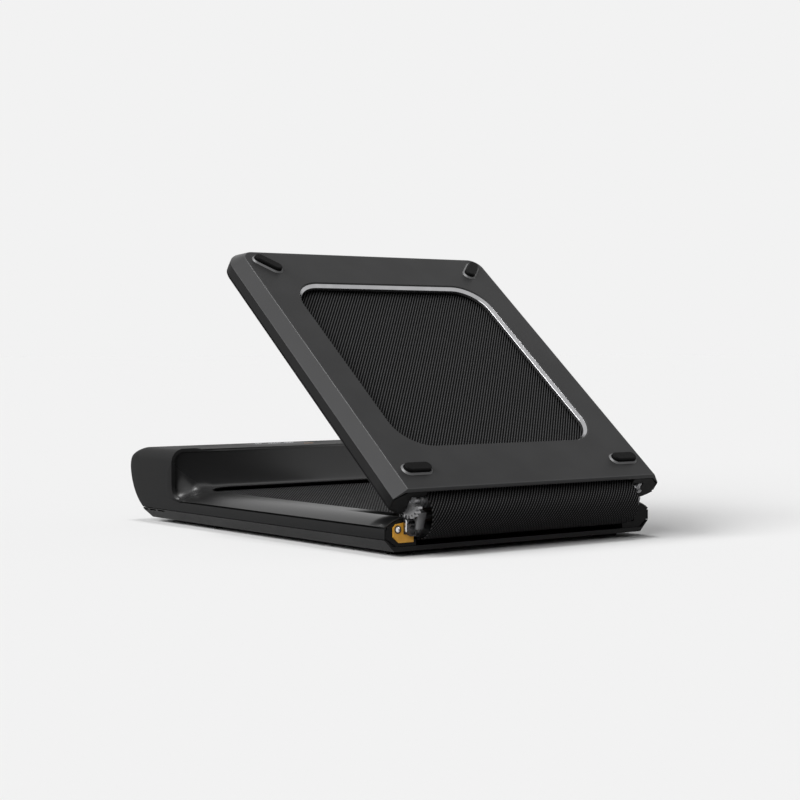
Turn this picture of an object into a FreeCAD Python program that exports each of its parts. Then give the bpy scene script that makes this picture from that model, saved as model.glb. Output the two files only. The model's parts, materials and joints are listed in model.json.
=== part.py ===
import FreeCAD, Part
import math
import os
import Sketcher

# Folding walking pad, in millimetres: +X to the right, +Y forward to the hood, +Z up.
# Two shallow halves are joined by a geared link with two parallel axes. Each half is drawn
# lying flat, measured from its own hinge axis, and is then placed at its rest angle.

Vector = FreeCAD.Vector
Rotation = FreeCAD.Rotation
Placement = FreeCAD.Placement

# Driving sizes: name, value, meaning
DRIVING_SIZES = [
    ("overall_width", 540.0, "across the side skirts"),
    ("foot_height", 8.0, "floor to the underside of the pan"),
    ("half_depth", 52.0, "pan underside to foot rail top"),
    ("edge_chamfer", 18.0, "sloping edge of the pan"),
    ("skirt_height", 18.0, "upright band of the side"),
    ("crown_width", 45.0, "rounded outer part of the foot rail"),
    ("wall", 2.5, "moulded wall"),
    ("seam", 0.3, "assembly gap between moulded pieces"),
    ("groove", 0.7, "shadow gap between skirt and foot rail"),
    ("rail_width", 58.5, "foot rail, from the skirt to the belt side"),
    ("belt_thickness", 1.8, "running belt"),
    ("belt_drop", 2.2, "foot rail top down to the belt"),
    ("belt_gap", 0.3, "belt to roller and belt to deck"),
    ("belt_side_gap", 1.5, "belt edge to foot rail"),
    ("roller_radius", 15.0, "end rollers"),
    ("shaft_radius", 6.0, "end roller shafts"),
    ("running_gap", 0.05, "radial gap of a shaft in its bore"),
    ("hinge_depth", 22.9, "foot rail top down to a fold axis"),
    ("closed_gap", 2.6, "between the foot rails when folded flat"),
    ("end_overhang", 5.0, "each half past its own fold axis"),
    ("fold_shaft_radius", 5.0, "fold shafts"),
    ("gear_teeth", 20.0, "teeth in a full turn of a fold gear"),
    ("rest_opening", 38.86, "angle between the halves at rest, degrees"),
    ("front_reach", 752.0, "front fold axis to the nose"),
    ("hood_length", 148.0, "hood, front to back"),
    ("hood_height", 131.0, "floor to the hood top"),
    ("hood_round", 22.0, "rounding along the upper sides of the hood"),
    ("nose_edge", 4.0, "rounding of the front side edges"),
    ("hood_nose_round", 34.5, "upper front rounding of the hood"),
    ("nose_slope", 8.0, "length of the sloping pan nose"),
    ("rear_reach", 591.0, "rear fold axis to the far end"),
    ("far_corner", 40.0, "plan rounding of the far corners"),
    ("window_margin", 70.0, "pan face beside the belt window"),
    ("window_length", 407.0, "belt window, outer edge"),
    ("window_start", 86.0, "rear fold axis to the belt window"),
    ("window_corner", 58.0, "corner radius of the belt window"),
    ("window_bevel", 5.0, "slope of the belt window wall"),
    ("foot_length", 55.0, "foot rim"),
    ("foot_width", 24.0, "foot rim"),
    ("deck_thickness", 12.0, "running board"),
    ("pocket_length", 36.0, "hinge pocket past the fold axis"),
    ("pocket_width", 26.0, "hinge pocket across"),
    ("drive_gap", 10.0, "foot rail to side tube, room for the wheels and pulleys"),
    ("tube_wall", 2.0, "steel tubes"),
    ("wheel_radius", 15.0, "transport wheels"),
]


class Size:
    """A length that keeps its number and the sheet formula that gives it."""

    def __init__(self, value, text):
        self.value = value
        self.text = text

    def __float__(self):
        return self.value

    def __add__(self, other):
        return Size(self.value + float(other), f"({self.text} + {formula(other)})")

    def __radd__(self, other):
        return Size(float(other) + self.value, f"({formula(other)} + {self.text})")

    def __sub__(self, other):
        return Size(self.value - float(other), f"({self.text} - {formula(other)})")

    def __rsub__(self, other):
        return Size(float(other) - self.value, f"({formula(other)} - {self.text})")

    def __mul__(self, other):
        return Size(self.value * float(other), f"({self.text} * {formula(other)})")

    def __rmul__(self, other):
        return Size(float(other) * self.value, f"({formula(other)} * {self.text})")

    def __truediv__(self, other):
        return Size(self.value / float(other), f"({self.text} / {formula(other)})")

    def __neg__(self):
        return Size(-self.value, f"(0 - {self.text})")


def formula(number):
    """Sheet formula of a size, or a plain number in brackets."""
    if isinstance(number, Size):
        return number.text
    return f"({float(number):.6f})"


doc = FreeCAD.newDocument("walking_pad")
sheet = doc.addObject("Spreadsheet::Sheet", "Sizes")
size = {}
for row, (alias, value, meaning) in enumerate(DRIVING_SIZES, start=1):
    sheet.set(f"A{row}", meaning)
    sheet.set(f"B{row}", str(value))
    sheet.setAlias(f"B{row}", alias)
    size[alias] = Size(value, f"Sizes.{alias}")
doc.recompute()

pieces = {}

# Small makers shared by all the sub-parts


def bind(thing, prop, number):
    thing.setExpression(prop, formula(number))


def spot(x, y, z):
    return Vector(float(x), float(y), float(z))


def box(name, low, high):
    """Block between two corners."""
    block = doc.addObject("Part::Box", name)
    for prop, first, last in zip(("Length", "Width", "Height"), low, high):
        bind(block, prop, last - first if isinstance(last, Size) else (last - first))
    block.Placement = Placement(spot(*low), Rotation())
    return block


def rod(name, radius, x_start, x_end, y, z):
    """Cylinder along X."""
    bar = doc.addObject("Part::Cylinder", name)
    bind(bar, "Radius", radius)
    bind(bar, "Height", x_end - x_start)
    bar.Placement = Placement(spot(x_start, y, z), Rotation(Vector(0, 1, 0), 90))
    return bar


def post(name, radius, z_start, z_end, x, y):
    """Cylinder along Z."""
    bar = doc.addObject("Part::Cylinder", name)
    bind(bar, "Radius", radius)
    bind(bar, "Height", z_end - z_start)
    bar.Placement = Placement(spot(x, y, z_start), Rotation())
    return bar


def fuse(name, shapes):
    joined = doc.addObject("Part::MultiFuse", name)
    joined.Shapes = shapes
    return joined


def cut(name, base, tools):
    result = doc.addObject("Part::Cut", name)
    result.Base = base
    result.Tool = tools[0] if len(tools) == 1 else fuse(name + "_tools", tools)
    return result


def group(name, members):
    """Several separate solids in one node."""
    bundle = doc.addObject("Part::Compound", name)
    bundle.Links = members
    return bundle


def draw_loop(sketch, corners):
    """Closed loop of lines and arcs. A corner is (u, v), or (u, v, centre_u, centre_v, turn)
    when an arc leaves it; turn is 1 for anticlockwise and -1 for clockwise."""
    first = sketch.GeometryCount
    count = len(corners)
    starts = []
    ends = []
    for index, corner in enumerate(corners):
        follower = corners[(index + 1) % count]
        here = spot(corner[0], corner[1], 0)
        there = spot(follower[0], follower[1], 0)
        if len(corner) == 2:
            sketch.addGeometry(Part.LineSegment(here, there))
            starts.append(1)
            ends.append(2)
            continue
        centre = spot(corner[2], corner[3], 0)
        begin, finish = (here, there) if corner[4] > 0 else (there, here)
        circle = Part.Circle(centre, Vector(0, 0, 1), (begin - centre).Length)
        angle_begin = math.atan2(begin.y - centre.y, begin.x - centre.x)
        angle_finish = math.atan2(finish.y - centre.y, finish.x - centre.x)
        if angle_finish <= angle_begin:
            angle_finish += 2 * math.pi
        sketch.addGeometry(Part.ArcOfCircle(circle, angle_begin, angle_finish))
        starts.append(1 if corner[4] > 0 else 2)
        ends.append(2 if corner[4] > 0 else 1)
    for index, corner in enumerate(corners):
        geo = first + index
        after = (index + 1) % count
        sketch.addConstraint(
            Sketcher.Constraint("Coincident", geo, ends[index], first + after, starts[after]))
        for kind, number in (("DistanceX", corner[0]), ("DistanceY", corner[1])):
            mark = sketch.addConstraint(
                Sketcher.Constraint(kind, -1, 1, geo, starts[index], float(number)))
            bind(sketch, f"Constraints[{mark}]", number)
        if len(corner) > 2:
            steep = abs(float(corner[0]) - float(corners[after][0]))
            tall = abs(float(corner[1]) - float(corners[after][1]))
            kind, number = ("DistanceX", corner[2]) if tall >= steep else ("DistanceY", corner[3])
            mark = sketch.addConstraint(Sketcher.Constraint(kind, -1, 1, geo, 3, float(number)))
            bind(sketch, f"Constraints[{mark}]", number)


def rounded_box_loop(u_low, v_low, u_high, v_high, radius):
    """Corners of a rectangle with rounded corners, anticlockwise."""
    return [
        (u_low + radius, v_low),
        (u_high - radius, v_low, u_high - radius, v_low + radius, 1),
        (u_high, v_low + radius),
        (u_high, v_high - radius, u_high - radius, v_high - radius, 1),
        (u_high - radius, v_high),
        (u_low + radius, v_high, u_low + radius, v_high - radius, 1),
        (u_low, v_high - radius),
        (u_low, v_low + radius, u_low + radius, v_low + radius, 1),
    ]


def box_loop(u_low, v_low, u_high, v_high):
    return [(u_low, v_low), (u_high, v_low), (u_high, v_high), (u_low, v_high)]


def plane_sketch(body, name, plane, loops, start):
    """Sketch on a plane of the body, start millimetres along that plane's positive axis."""
    sketch = body.newObject("Sketcher::SketchObject", name)
    support = [item for item in body.Origin.OriginFeatures if item.Role == plane][0]
    sketch.AttachmentSupport = (support, [""])
    sketch.MapMode = "FlatFace"
    bind(sketch, "AttachmentOffset.Base.z", -start if plane == "XZ_Plane" else start)
    for loop in loops:
        draw_loop(sketch, loop)
    return sketch


def pad(name, plane, loops, start, length):
    """Body with one pad that grows along +X, +Y or +Z from start."""
    body = doc.addObject("PartDesign::Body", name)
    grow(body, name + "_pad", plane, loops, start, length)
    return body


def grow(body, name, plane, loops, start, length):
    feature = body.newObject("PartDesign::Pad", name)
    feature.Profile = plane_sketch(body, name + "_outline", plane, loops, start)
    bind(feature, "Length", length)
    feature.Reversed = plane == "XZ_Plane"
    return feature


def carve(body, name, plane, loops, start, length):
    """Pocket from start along the positive axis of its plane."""
    feature = body.newObject("PartDesign::Pocket", name)
    feature.Profile = plane_sketch(body, name + "_outline", plane, loops, start)
    bind(feature, "Length", length)
    feature.Reversed = plane != "XZ_Plane"
    return feature


def round_edges(body, name, radius, pick, kind="PartDesign::Fillet"):
    """Fillet or chamfer on those edges of the body's tip that pick accepts."""
    doc.recompute()
    base = body.Tip
    chosen = [f"Edge{n}" for n, edge in enumerate(base.Shape.Edges, start=1) if pick(edge)]
    feature = body.newObject(kind, name)
    feature.Base = (base, chosen)
    bind(feature, "Radius" if kind == "PartDesign::Fillet" else "Size", radius)
    return feature


def plain(name, shape):
    """Sub-part whose shape comes from formulas that sketches and primitives do not give."""
    feature = doc.addObject("Part::Feature", name)
    feature.Shape = shape
    return feature


def add(name, thing, body_frame):
    """Name a sub-part and set it in its body's place."""
    thing.Label = name
    thing.Placement = body_frame.multiply(thing.Placement)
    pieces[name] = thing


# Levels and widths that follow from the driving sizes

half_width = size["overall_width"] / 2
pan_low = size["foot_height"] + 0
rail_top = pan_low + size["half_depth"]
wall = size["wall"]
seam = size["seam"]
pan_floor = pan_low + wall
skirt_low = pan_low + size["edge_chamfer"]
skirt_high = skirt_low + size["skirt_height"]
crown_low = skirt_high + size["groove"]
crown_inner = half_width - size["crown_width"]
rail_inner = half_width - size["rail_width"]
belt_half = rail_inner - size["belt_side_gap"]
belt_width = 2 * belt_half
belt_top = rail_top - size["belt_drop"]
belt_under = belt_top - size["belt_thickness"]
deck_top = belt_under - size["belt_gap"]
deck_low = deck_top - size["deck_thickness"]
roller_height = deck_top - size["roller_radius"]
loop_inner = size["roller_radius"] + size["belt_gap"]
loop_outer = loop_inner + size["belt_thickness"]
lower_run = roller_height - loop_outer
axis_height = rail_top - size["hinge_depth"]
link_length = 2 * size["hinge_depth"] + size["closed_gap"]
pitch_radius = link_length / 2
pocket_outer = rail_inner + size["pocket_width"]
overhang = size["end_overhang"]
pocket_end = size["pocket_length"] + 0
tube_outer = half_width - size["edge_chamfer"] - wall
tube_inner = rail_inner + size["drive_gap"]
tube_low = pan_floor + seam
tube_high = deck_low - 2
deck_half = belt_half + 26
fold_roller_radius = axis_height - lower_run - size["belt_thickness"] - size["belt_gap"]
hood_back = size["front_reach"] - size["hood_length"]
nose_seam = size["front_reach"] - 42
nose_foot = nose_seam - size["nose_slope"]
frame_end = nose_seam - 34
front_roller_at = size["front_reach"] - 66
rear_roller_at = size["rear_reach"] - 43
MOTOR_LENGTH = 130.0
motor_end = rail_inner - 6
motor_start = motor_end - MOTOR_LENGTH

# Rest pose: each of the two fold axes has turned by half of the fold

fold_half = (180 - size["rest_opening"].value) / 2
fold_turn = math.radians(fold_half)
upright = math.cos(fold_turn) * pitch_radius.value
leaning = math.sin(fold_turn) * pitch_radius.value
lower_neutral = axis_height.value - lower_run.value - size["belt_thickness"].value / 2
fold_arc = lower_neutral + leaning
fold_arc_outer = fold_arc + size["belt_thickness"].value / 2
fold_reach = fold_arc_outer + upright
axis_back = -(size["front_reach"].value + fold_reach) / 2 + fold_reach
axis_line = Vector(1, 0, 0)


def turn_about(y, angle):
    """Turn about the fold axis at y, in the flat pose."""
    return Placement(Vector(0, 0, 0), Rotation(axis_line, angle), Vector(0, y, axis_height.value))


front_frame = Placement(Vector(0, axis_back, 0), Rotation())
link_frame = front_frame.multiply(turn_about(0, -fold_half))
rear_frame = link_frame.multiply(turn_about(-link_length.value, -fold_half))


class Half:
    """Lengthwise places in one half, counted from its fold axis towards its far end."""

    def __init__(self, name, frame, sense, origin):
        self.name = name
        self.frame = frame
        self.sense = sense
        self.origin = origin

    def at(self, distance):
        return self.origin + distance * self.sense

    def span(self, near, far):
        """Lower and upper y of a stretch."""
        if self.sense > 0:
            return self.at(near), self.at(far)
        return self.at(far), self.at(near)

    def stretch(self, near, far):
        """Start and length along +Y of a stretch."""
        low, high = self.span(near, far)
        return low, high - low


zero = size["wall"] * 0
front = Half("front", front_frame, 1, zero)
rear = Half("rear", rear_frame, -1, -link_length)
SIDES = (("left", -1), ("right", 1))


def x_span(side, inner, outer):
    """Lower and upper x of a stretch on one side."""
    return (inner, outer) if side > 0 else (-outer, -inner)


def mirrored(side, points):
    """Outline on the right, or its mirror image on the left."""
    if side > 0:
        return points
    flipped = []
    for corner in points:
        if len(corner) == 2:
            flipped.append((-corner[0], corner[1]))
        else:
            flipped.append((-corner[0], corner[1], -corner[2], corner[3], -corner[4]))
    return flipped


# Moulded pieces that both halves share

bevel_wall = wall * math.sqrt(2)
floor_half = half_width - size["edge_chamfer"] + wall - bevel_wall
lip_high = pan_low + 7


def crown_centre(inset):
    """Height of the centre of the foot rail's rounding, for the outer or inner face."""
    rise = rail_top - inset - crown_low
    width = size["crown_width"] - inset
    return rail_top - inset - (width * width + rise * rise) / (2 * rise)


def crown_height(x, inset):
    """Height of the foot rail's rounding at x."""
    centre = float(crown_centre(inset))
    radius = float(rail_top - inset) - centre
    return centre + math.sqrt(radius ** 2 - (float(x) - float(crown_inner)) ** 2)


def foot_rail(half, side_name, side, far, shoulder=None):
    """Rounded rail top beside the belt, open over the hinge pocket. Past a shoulder it is
    narrower, to pass inside the hood wall."""
    outline = [
        (half_width, crown_low, crown_inner, crown_centre(0), 1),
        (crown_inner, rail_top),
        (rail_inner, rail_top),
        (rail_inner, rail_top - wall),
        (crown_inner, rail_top - wall, crown_inner, crown_centre(wall), -1),
        (half_width - wall, crown_low),
    ]
    name = f"{half.name}_foot_rail_{side_name}"
    start, length = half.stretch(-overhang, far)
    rail = pad(name, "XZ_Plane", [mirrored(side, outline)], start, length)
    low, high = half.span(-overhang - 5, pocket_end)
    x_low, x_high = x_span(side, rail_inner - 5, pocket_outer)
    carve(rail, name + "_pocket", "XY_Plane", [box_loop(x_low, low, x_high, high)],
          rail_top - 15, zero + 30)
    if shoulder is not None:
        low, high = half.span(shoulder, far + 5)
        x_low, x_high = x_span(side, half_width - hood_wall - seam, half_width + 5)
        carve(rail, name + "_shoulder", "XY_Plane", [box_loop(x_low, low, x_high, high)],
              crown_low - 5, zero + 30)
    add(name, rail, half.frame)


def end_caps(half):
    """Plugs that close the hinge end of both sides."""
    caps = [end_cap(half, side_name, side) for side_name, side in SIDES]
    add(f"{half.name}_end_caps", group(f"{half.name}_cap_group", caps), half.frame)


def end_cap(half, side_name, side):
    """One plug, cut away for the hinge above a low shelf."""
    rim = half_width - wall - seam
    shelf = axis_height - 12
    arc_low = crown_low - seam
    outline = [
        (rail_inner, pan_floor + seam),
        (floor_half - seam, pan_floor + seam),
        (half_width - bevel_wall - 2 * seam, skirt_low),
        (rim, skirt_low + wall),
        (rim, arc_low),
        (half_width - 12, crown_height(half_width - 12, wall) - 2 * seam.value),
        (half_width - 22, crown_height(half_width - 22, wall) - 2 * seam.value),
        (pocket_outer, crown_height(pocket_outer, wall) - 2 * seam.value),
        (pocket_outer, shelf),
        (rail_inner, shelf),
    ]
    name = f"{half.name}_cap_{side_name}"
    start, length = half.stretch(-overhang + wall + seam, 9)
    cap = pad(name, "XZ_Plane", [mirrored(side, outline)], start, length)
    face = outline[3:9] + [(rail_inner + 20, shelf), (rail_inner, shelf), (rail_inner, lip_high + 1),
                           (half_width - 22, lip_high + 1)]
    start, length = half.stretch(-overhang, -overhang + wall + seam + 1)
    grow(cap, name + "_face", "XZ_Plane", [mirrored(side, face)], start, length)
    return cap


def side_tubes(half, far):
    """Steel box tubes that carry the deck."""
    members = []
    gauge = size["tube_wall"]
    start, length = half.stretch(pocket_end + 1, far)
    for side_name, side in SIDES:
        x_low, x_high = x_span(side, tube_inner, tube_outer)
        outer = box_loop(x_low, tube_low, x_high, tube_high)
        inner = box_loop(x_low + gauge, tube_low + gauge, x_high - gauge, tube_high - gauge)
        members.append(pad(f"{half.name}_side_tube_{side_name}", "XZ_Plane", [outer, inner], start, length))
    add(f"{half.name}_side_tubes", group(f"{half.name}_tube_group", members), half.frame)


def even_places(first, last, count):
    """Evenly spread distances from the fold axis."""
    return [first + (last - first) * (number / (count - 1)) for number in range(count)]


def cross_tubes(half, places):
    """Box tubes between the side tubes, inside the belt loop."""
    members = []
    low = lower_run + size["belt_thickness"] + 2.6
    reach = tube_inner - seam
    gauge = size["tube_wall"]
    for number, place in enumerate(places):
        y_low, y_high = half.span(place - 10, place + 10)
        name = f"{half.name}_cross_{number}"
        outer = box(name + "_outer", (-reach, y_low, low), (reach, y_high, tube_high))
        inner = box(name + "_inner", (-reach - 1, y_low + gauge, low + gauge),
                    (reach + 1, y_high - gauge, tube_high - gauge))
        members.append(cut(name, outer, [inner]))
    add(f"{half.name}_cross_tubes", group(f"{half.name}_cross_group", members), half.frame)


def deck(half, far):
    """Running board, narrow between the hinge links and thin over the fold roller."""
    narrow = belt_half - 0.5
    y_near = half.at(-overhang)
    y_step = half.at(pocket_end + 1)
    y_far = half.at(far)
    outline = [(-narrow, y_near), (narrow, y_near), (narrow, y_step), (deck_half, y_step),
               (deck_half, y_far), (-deck_half, y_far), (-deck_half, y_step), (-narrow, y_step)]
    name = f"{half.name}_deck"
    board = pad(name, "XY_Plane", [outline], deck_low, size["deck_thickness"])
    low, high = half.span(-overhang - 5, fold_roller_radius + 3)
    under = axis_height + fold_roller_radius + 1.2
    carve(board, name + "_rebate", "XY_Plane", [box_loop(-belt_half - 9, low, belt_half + 9, high)],
          deck_low - 5, under - deck_low + 5)
    add(name, board, half.frame)


def deck_cushions(half, places):
    members = []
    for side_name, side in SIDES:
        x_low, x_high = x_span(side, tube_inner + 3, tube_inner + 13)
        for number, place in enumerate(places):
            y_low, y_high = half.span(place - 25, place + 25)
            members.append(box(f"{half.name}_cushion_{side_name}_{number}", (x_low, y_low, tube_high),
                               (x_high, y_high, deck_low)))
    add(f"{half.name}_deck_cushions", group(f"{half.name}_cushion_group", members), half.frame)


def stadium(name, length, width, low, high):
    """Upright slab with round ends, long axis along X, about the origin."""
    run = (length - width) / 2
    middle = box(name + "_middle", (-run, -width / 2, low), (run, width / 2, high))
    ends = [post(f"{name}_end_{number}", width / 2, low, high, place, 0)
            for number, place in enumerate((-run, run))]
    return fuse(name, [middle] + ends)


def feet(half, spots):
    """Moulded rims and rubber pads: x, distance from the fold axis, turn of the long axis."""
    rims = []
    soles = []
    rim_low = pan_low - 5
    for number, (x, distance, turn) in enumerate(spots):
        name = f"{half.name}_foot_{number}"
        outer = stadium(name + "_outer", size["foot_length"], size["foot_width"], rim_low, pan_low)
        inner = stadium(name + "_inner", size["foot_length"] - 6, size["foot_width"] - 6,
                        rim_low - 1, pan_low + 1)
        rim = cut(name + "_rim", outer, [inner])
        sole = stadium(name + "_sole", size["foot_length"] - 7, size["foot_width"] - 7,
                       zero, pan_low)
        place = Placement(spot(x, half.at(distance), 0), Rotation(Vector(0, 0, 1), turn))
        rim.Placement = place
        sole.Placement = place
        rims.append(rim)
        soles.append(sole)
    add(f"{half.name}_foot_rims", group(f"{half.name}_rim_group", rims), half.frame)
    add(f"{half.name}_foot_pads", group(f"{half.name}_pad_group", soles), half.frame)


def roller_brackets(half, near, far, at):
    """Plates on the ends of the side tubes that hold a roller shaft."""
    members = []
    for side_name, side in SIDES:
        x_low, x_high = x_span(side, tube_inner + 0.5, tube_inner + 8.5)
        y_low, y_high = half.span(near, far)
        name = f"{half.name}_bracket_{side_name}"
        plate = box(name + "_plate", (x_low, y_low, roller_height - 10),
                    (x_high, y_high, roller_height + 10))
        bore = rod(name + "_bore", size["shaft_radius"] + 0.02, x_low - 1, x_high + 1, half.at(at),
                   roller_height)
        members.append(cut(name, plate, [bore]))
    return members


def roller(name, half, at, reach, radius, shaft, height):
    """Hollow roller with solid ends that turns on a fixed shaft."""
    y = half.at(at)
    tube = rod(name + "_tube", radius, -reach, reach, y, height)
    bore = rod(name + "_bore", shaft + size["running_gap"], -reach - 1, reach + 1, y, height)
    hollow = rod(name + "_hollow", radius - 2.5, -reach + 14, reach - 14, y, height)
    return cut(name, tube, [bore, hollow])


def lip_cutter(half):
    """Opening above the low lip at the hinge end of a pan."""
    wide = half_width - bevel_wall
    at_lip = floor_half + lip_high - pan_floor
    outline = [(-at_lip, lip_high), (at_lip, lip_high), (wide, skirt_low), (wide, skirt_low + 5),
               (-wide, skirt_low + 5), (-wide, skirt_low)]
    start, length = half.stretch(-overhang - 1, -overhang + wall + 1)
    return pad(f"{half.name}_lip_cutter", "XZ_Plane", [outline], start, length)


# Front half: pan with a sloping nose and vents

front_near = -overhang
cross_outer = [(-half_width, skirt_low), (-half_width + size["edge_chamfer"], pan_low),
               (half_width - size["edge_chamfer"], pan_low), (half_width, skirt_low)]
side_outer = [(front_near, pan_low), (nose_foot, pan_low), (nose_seam, skirt_low), (front_near, skirt_low)]
cross_inner = [(-floor_half, pan_floor), (floor_half, pan_floor), (half_width - bevel_wall, skirt_low),
               (half_width - bevel_wall, skirt_low + 5), (-half_width + bevel_wall, skirt_low + 5),
               (-half_width + bevel_wall, skirt_low)]
side_inner = [(front_near + wall, pan_floor), (nose_foot, pan_floor), (nose_seam, skirt_low + wall),
              (front_near + wall, skirt_low + wall)]
pan_blocks = []
for name, cross, side_view, inset in (("front_pan_outer", cross_outer, side_outer, zero),
                                      ("front_pan_inner", cross_inner, side_inner, zero + 4)):
    edge = half_width - inset
    tip = nose_seam - inset
    turn = size["nose_edge"] + 4 - inset
    plan = [(-edge, front_near - 1), (edge, front_near - 1),
            (edge, tip - turn, edge - turn, tip - turn, 1), (edge - turn, tip),
            (-edge + turn, tip, -edge + turn, tip - turn, 1), (-edge, tip - turn)]
    block = doc.addObject("Part::MultiCommon", name)
    block.Shapes = [
        pad(name + "_cross", "XZ_Plane", [cross], front_near - 1, size["front_reach"] + 20),
        pad(name + "_side", "YZ_Plane", [side_view], -half_width - 1, size["overall_width"] + 2),
        pad(name + "_plan", "XY_Plane", [plan], zero, skirt_low + 20),
    ]
    pan_blocks.append(block)
pan_cuts = [pan_blocks[1], lip_cutter(front)]
for side_name, side in SIDES:
    x_low, x_high = x_span(side, half_width - 14, half_width + 2)
    for number, (vent_near, vent_far) in enumerate(((117, 93), (86, 66), (59, 48))):
        pan_cuts.append(box(f"vent_{side_name}_{number}",
                            (x_low, size["front_reach"] - vent_near, skirt_low - 4.2),
                            (x_high, size["front_reach"] - vent_far, skirt_low - 1.6)))
    x_low, x_high = x_span(side, rail_inner + 0.3, tube_inner - 0.6)
    pan_cuts.append(box(f"wheel_slot_{side_name}", (x_low, frame_end - 52, zero),
                        (x_high, frame_end - 12, pan_floor + 1)))
add("front_pan", cut("front_pan_shape", pan_blocks[0], pan_cuts), front_frame)

# Hood: shell with a rounded nose, and the dished panel behind it

NOSE_LEAN = math.radians(8)


def hood_block(inset):
    """Solid hood. Side view: straight back and top, then two arcs that meet smoothly and run
    down to the nose seam. Front view: the upper sides are rounded, and so are the front edges."""
    top = hood_top - inset
    radius = size["hood_nose_round"].value
    reach = size["front_reach"].value - radius
    seam_y = nose_seam.value
    low = skirt_low.value
    centre = Vector(0, reach, hood_top - radius)
    lean = Vector(0, math.cos(NOSE_LEAN), -math.sin(NOSE_LEAN))
    join = centre + lean * radius
    away = Vector(0, seam_y, low) - join
    nose_radius = away.dot(away) / (-2 * away.dot(lean))
    nose_centre = join - lean * nose_radius
    radius -= inset
    nose_radius -= inset
    join = centre + lean * radius
    toe = nose_centre.y + math.sqrt(nose_radius ** 2 - (low - nose_centre.z) ** 2)
    middle = (lean + Vector(0, toe - nose_centre.y, low - nose_centre.z).normalize()).normalize()
    crest = (Vector(0, 0, 1) + lean).normalize()
    back = hood_back.value - (5 if inset else 0)
    sill = low - 5
    heel = toe + (low - nose_centre.z) / (toe - nose_centre.y) * (low - sill)
    corners = [Vector(0, back, sill), Vector(0, back, top), Vector(0, reach, top)]
    edges = [
        Part.LineSegment(corners[0], corners[1]).toShape(),
        Part.LineSegment(corners[1], corners[2]).toShape(),
        Part.Arc(corners[2], centre + crest * radius, join).toShape(),
        Part.Arc(join, nose_centre + middle * nose_radius, Vector(0, toe, low)).toShape(),
        Part.LineSegment(Vector(0, toe, low), Vector(0, heel, sill)).toShape(),
        Part.LineSegment(Vector(0, heel, sill), corners[0]).toShape(),
    ]
    reach_x = half_width.value - inset
    face = Part.Face(Part.Wire(edges))
    face.translate(Vector(-reach_x, 0, 0))
    solid = face.extrude(Vector(2 * reach_x, 0, 0))
    loaf = Part.makeBox(2 * reach_x, 999, top - sill + 1, Vector(-reach_x, back - 1, sill - 1))
    crests = [edge for edge in loaf.Edges if edge.BoundBox.ZMin > top - 1 and edge.BoundBox.XLength < 1e-6]
    solid = solid.common(loaf.makeFillet(size["hood_round"].value - inset, crests))
    if inset:
        return solid
    front_edges = []
    for edge in solid.Edges:
        span = edge.BoundBox
        if span.XLength < 1e-6 and span.YMin > seam_y - 20 and span.ZMin < hood_top - radius:
            front_edges.append(edge)
    solid = solid.makeFillet(size["nose_edge"].value, front_edges)
    waste = Part.makeBox(2 * reach_x + 2, 999, 20, Vector(-reach_x - 1, back - 1, low + seam.value - 20))
    return solid.cut(waste)


def raw_box(low, high):
    """Solid block between two corners."""
    low = spot(*low)
    span = spot(*high) - low
    return Part.makeBox(span.x, span.y, span.z, low)


hood_top = size["hood_height"].value
hood_wall = 3.0
hood_solid = hood_block(0).cut(hood_block(hood_wall))
display_near = hood_back.value + 46
display_far = display_near + 56
display_half = 64.0
display_deep = 1.6
inlet_half = 29.5
inlet_x = motor_start.value - inlet_half - 18
inlet_low = hood_top - 59
inlet_high = inlet_low + 29
inlet_back = size["front_reach"].value - 14
hood_solid = hood_solid.cut(raw_box((-display_half, display_near, hood_top - display_deep),
                                    (display_half, display_far, hood_top + 5)))
hood_solid = hood_solid.cut(raw_box((inlet_x - inlet_half, inlet_back, inlet_low),
                                    (inlet_x + inlet_half, inlet_back + 60, inlet_high)))
corner_round = 30.0
for side_name, side in SIDES:
    x = half_width.value if side > 0 else -half_width.value + wall.value
    gusset = raw_box((x - wall.value, hood_back.value - corner_round, crown_low.value),
                     (x, hood_back.value, crown_low.value + corner_round))
    gusset = gusset.cut(Part.makeCylinder(
        corner_round, wall.value + 2,
        Vector(x - wall.value - 1, hood_back.value - corner_round, crown_low.value + corner_round),
        axis_line))
    hood_solid = hood_solid.fuse(gusset)
add("hood_shell", plain("hood_shell_shape", hood_solid.removeSplitter()), front_frame)

# Dished panel: a straight overhang that runs into an arc and ends in a lip above the belt
dish_depth = 20.0
dish_lip_y = hood_back.value + dish_depth
dish_lip_z = rail_top.value + 2.4
dish_top = Vector(0, hood_back.value + 0.4, hood_top - hood_wall - 0.3)
dish_slope = Vector(0, math.cos(math.radians(62)), -math.sin(math.radians(62)))
dish_inward = Vector(0, dish_slope.z, -dish_slope.y)
dish_offset = Vector(0, dish_lip_y, dish_lip_z) - dish_top
dish_radius = dish_offset.dot(dish_inward) / (1 - dish_inward.z)
dish_centre = Vector(0, dish_lip_y, dish_lip_z + dish_radius)


def dish_side(inset):
    """Points of the overhang and the arc, moved away from the air by inset."""
    start = dish_top - dish_inward * inset
    start.z = dish_top.z
    tangent = dish_centre - dish_inward * (dish_radius + inset)
    low = dish_centre + Vector(0, 0, -1) * (dish_radius + inset)
    middle = (low + tangent) * 0.5 - dish_centre
    return start, tangent, dish_centre + middle.normalize() * (dish_radius + inset), low


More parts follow.
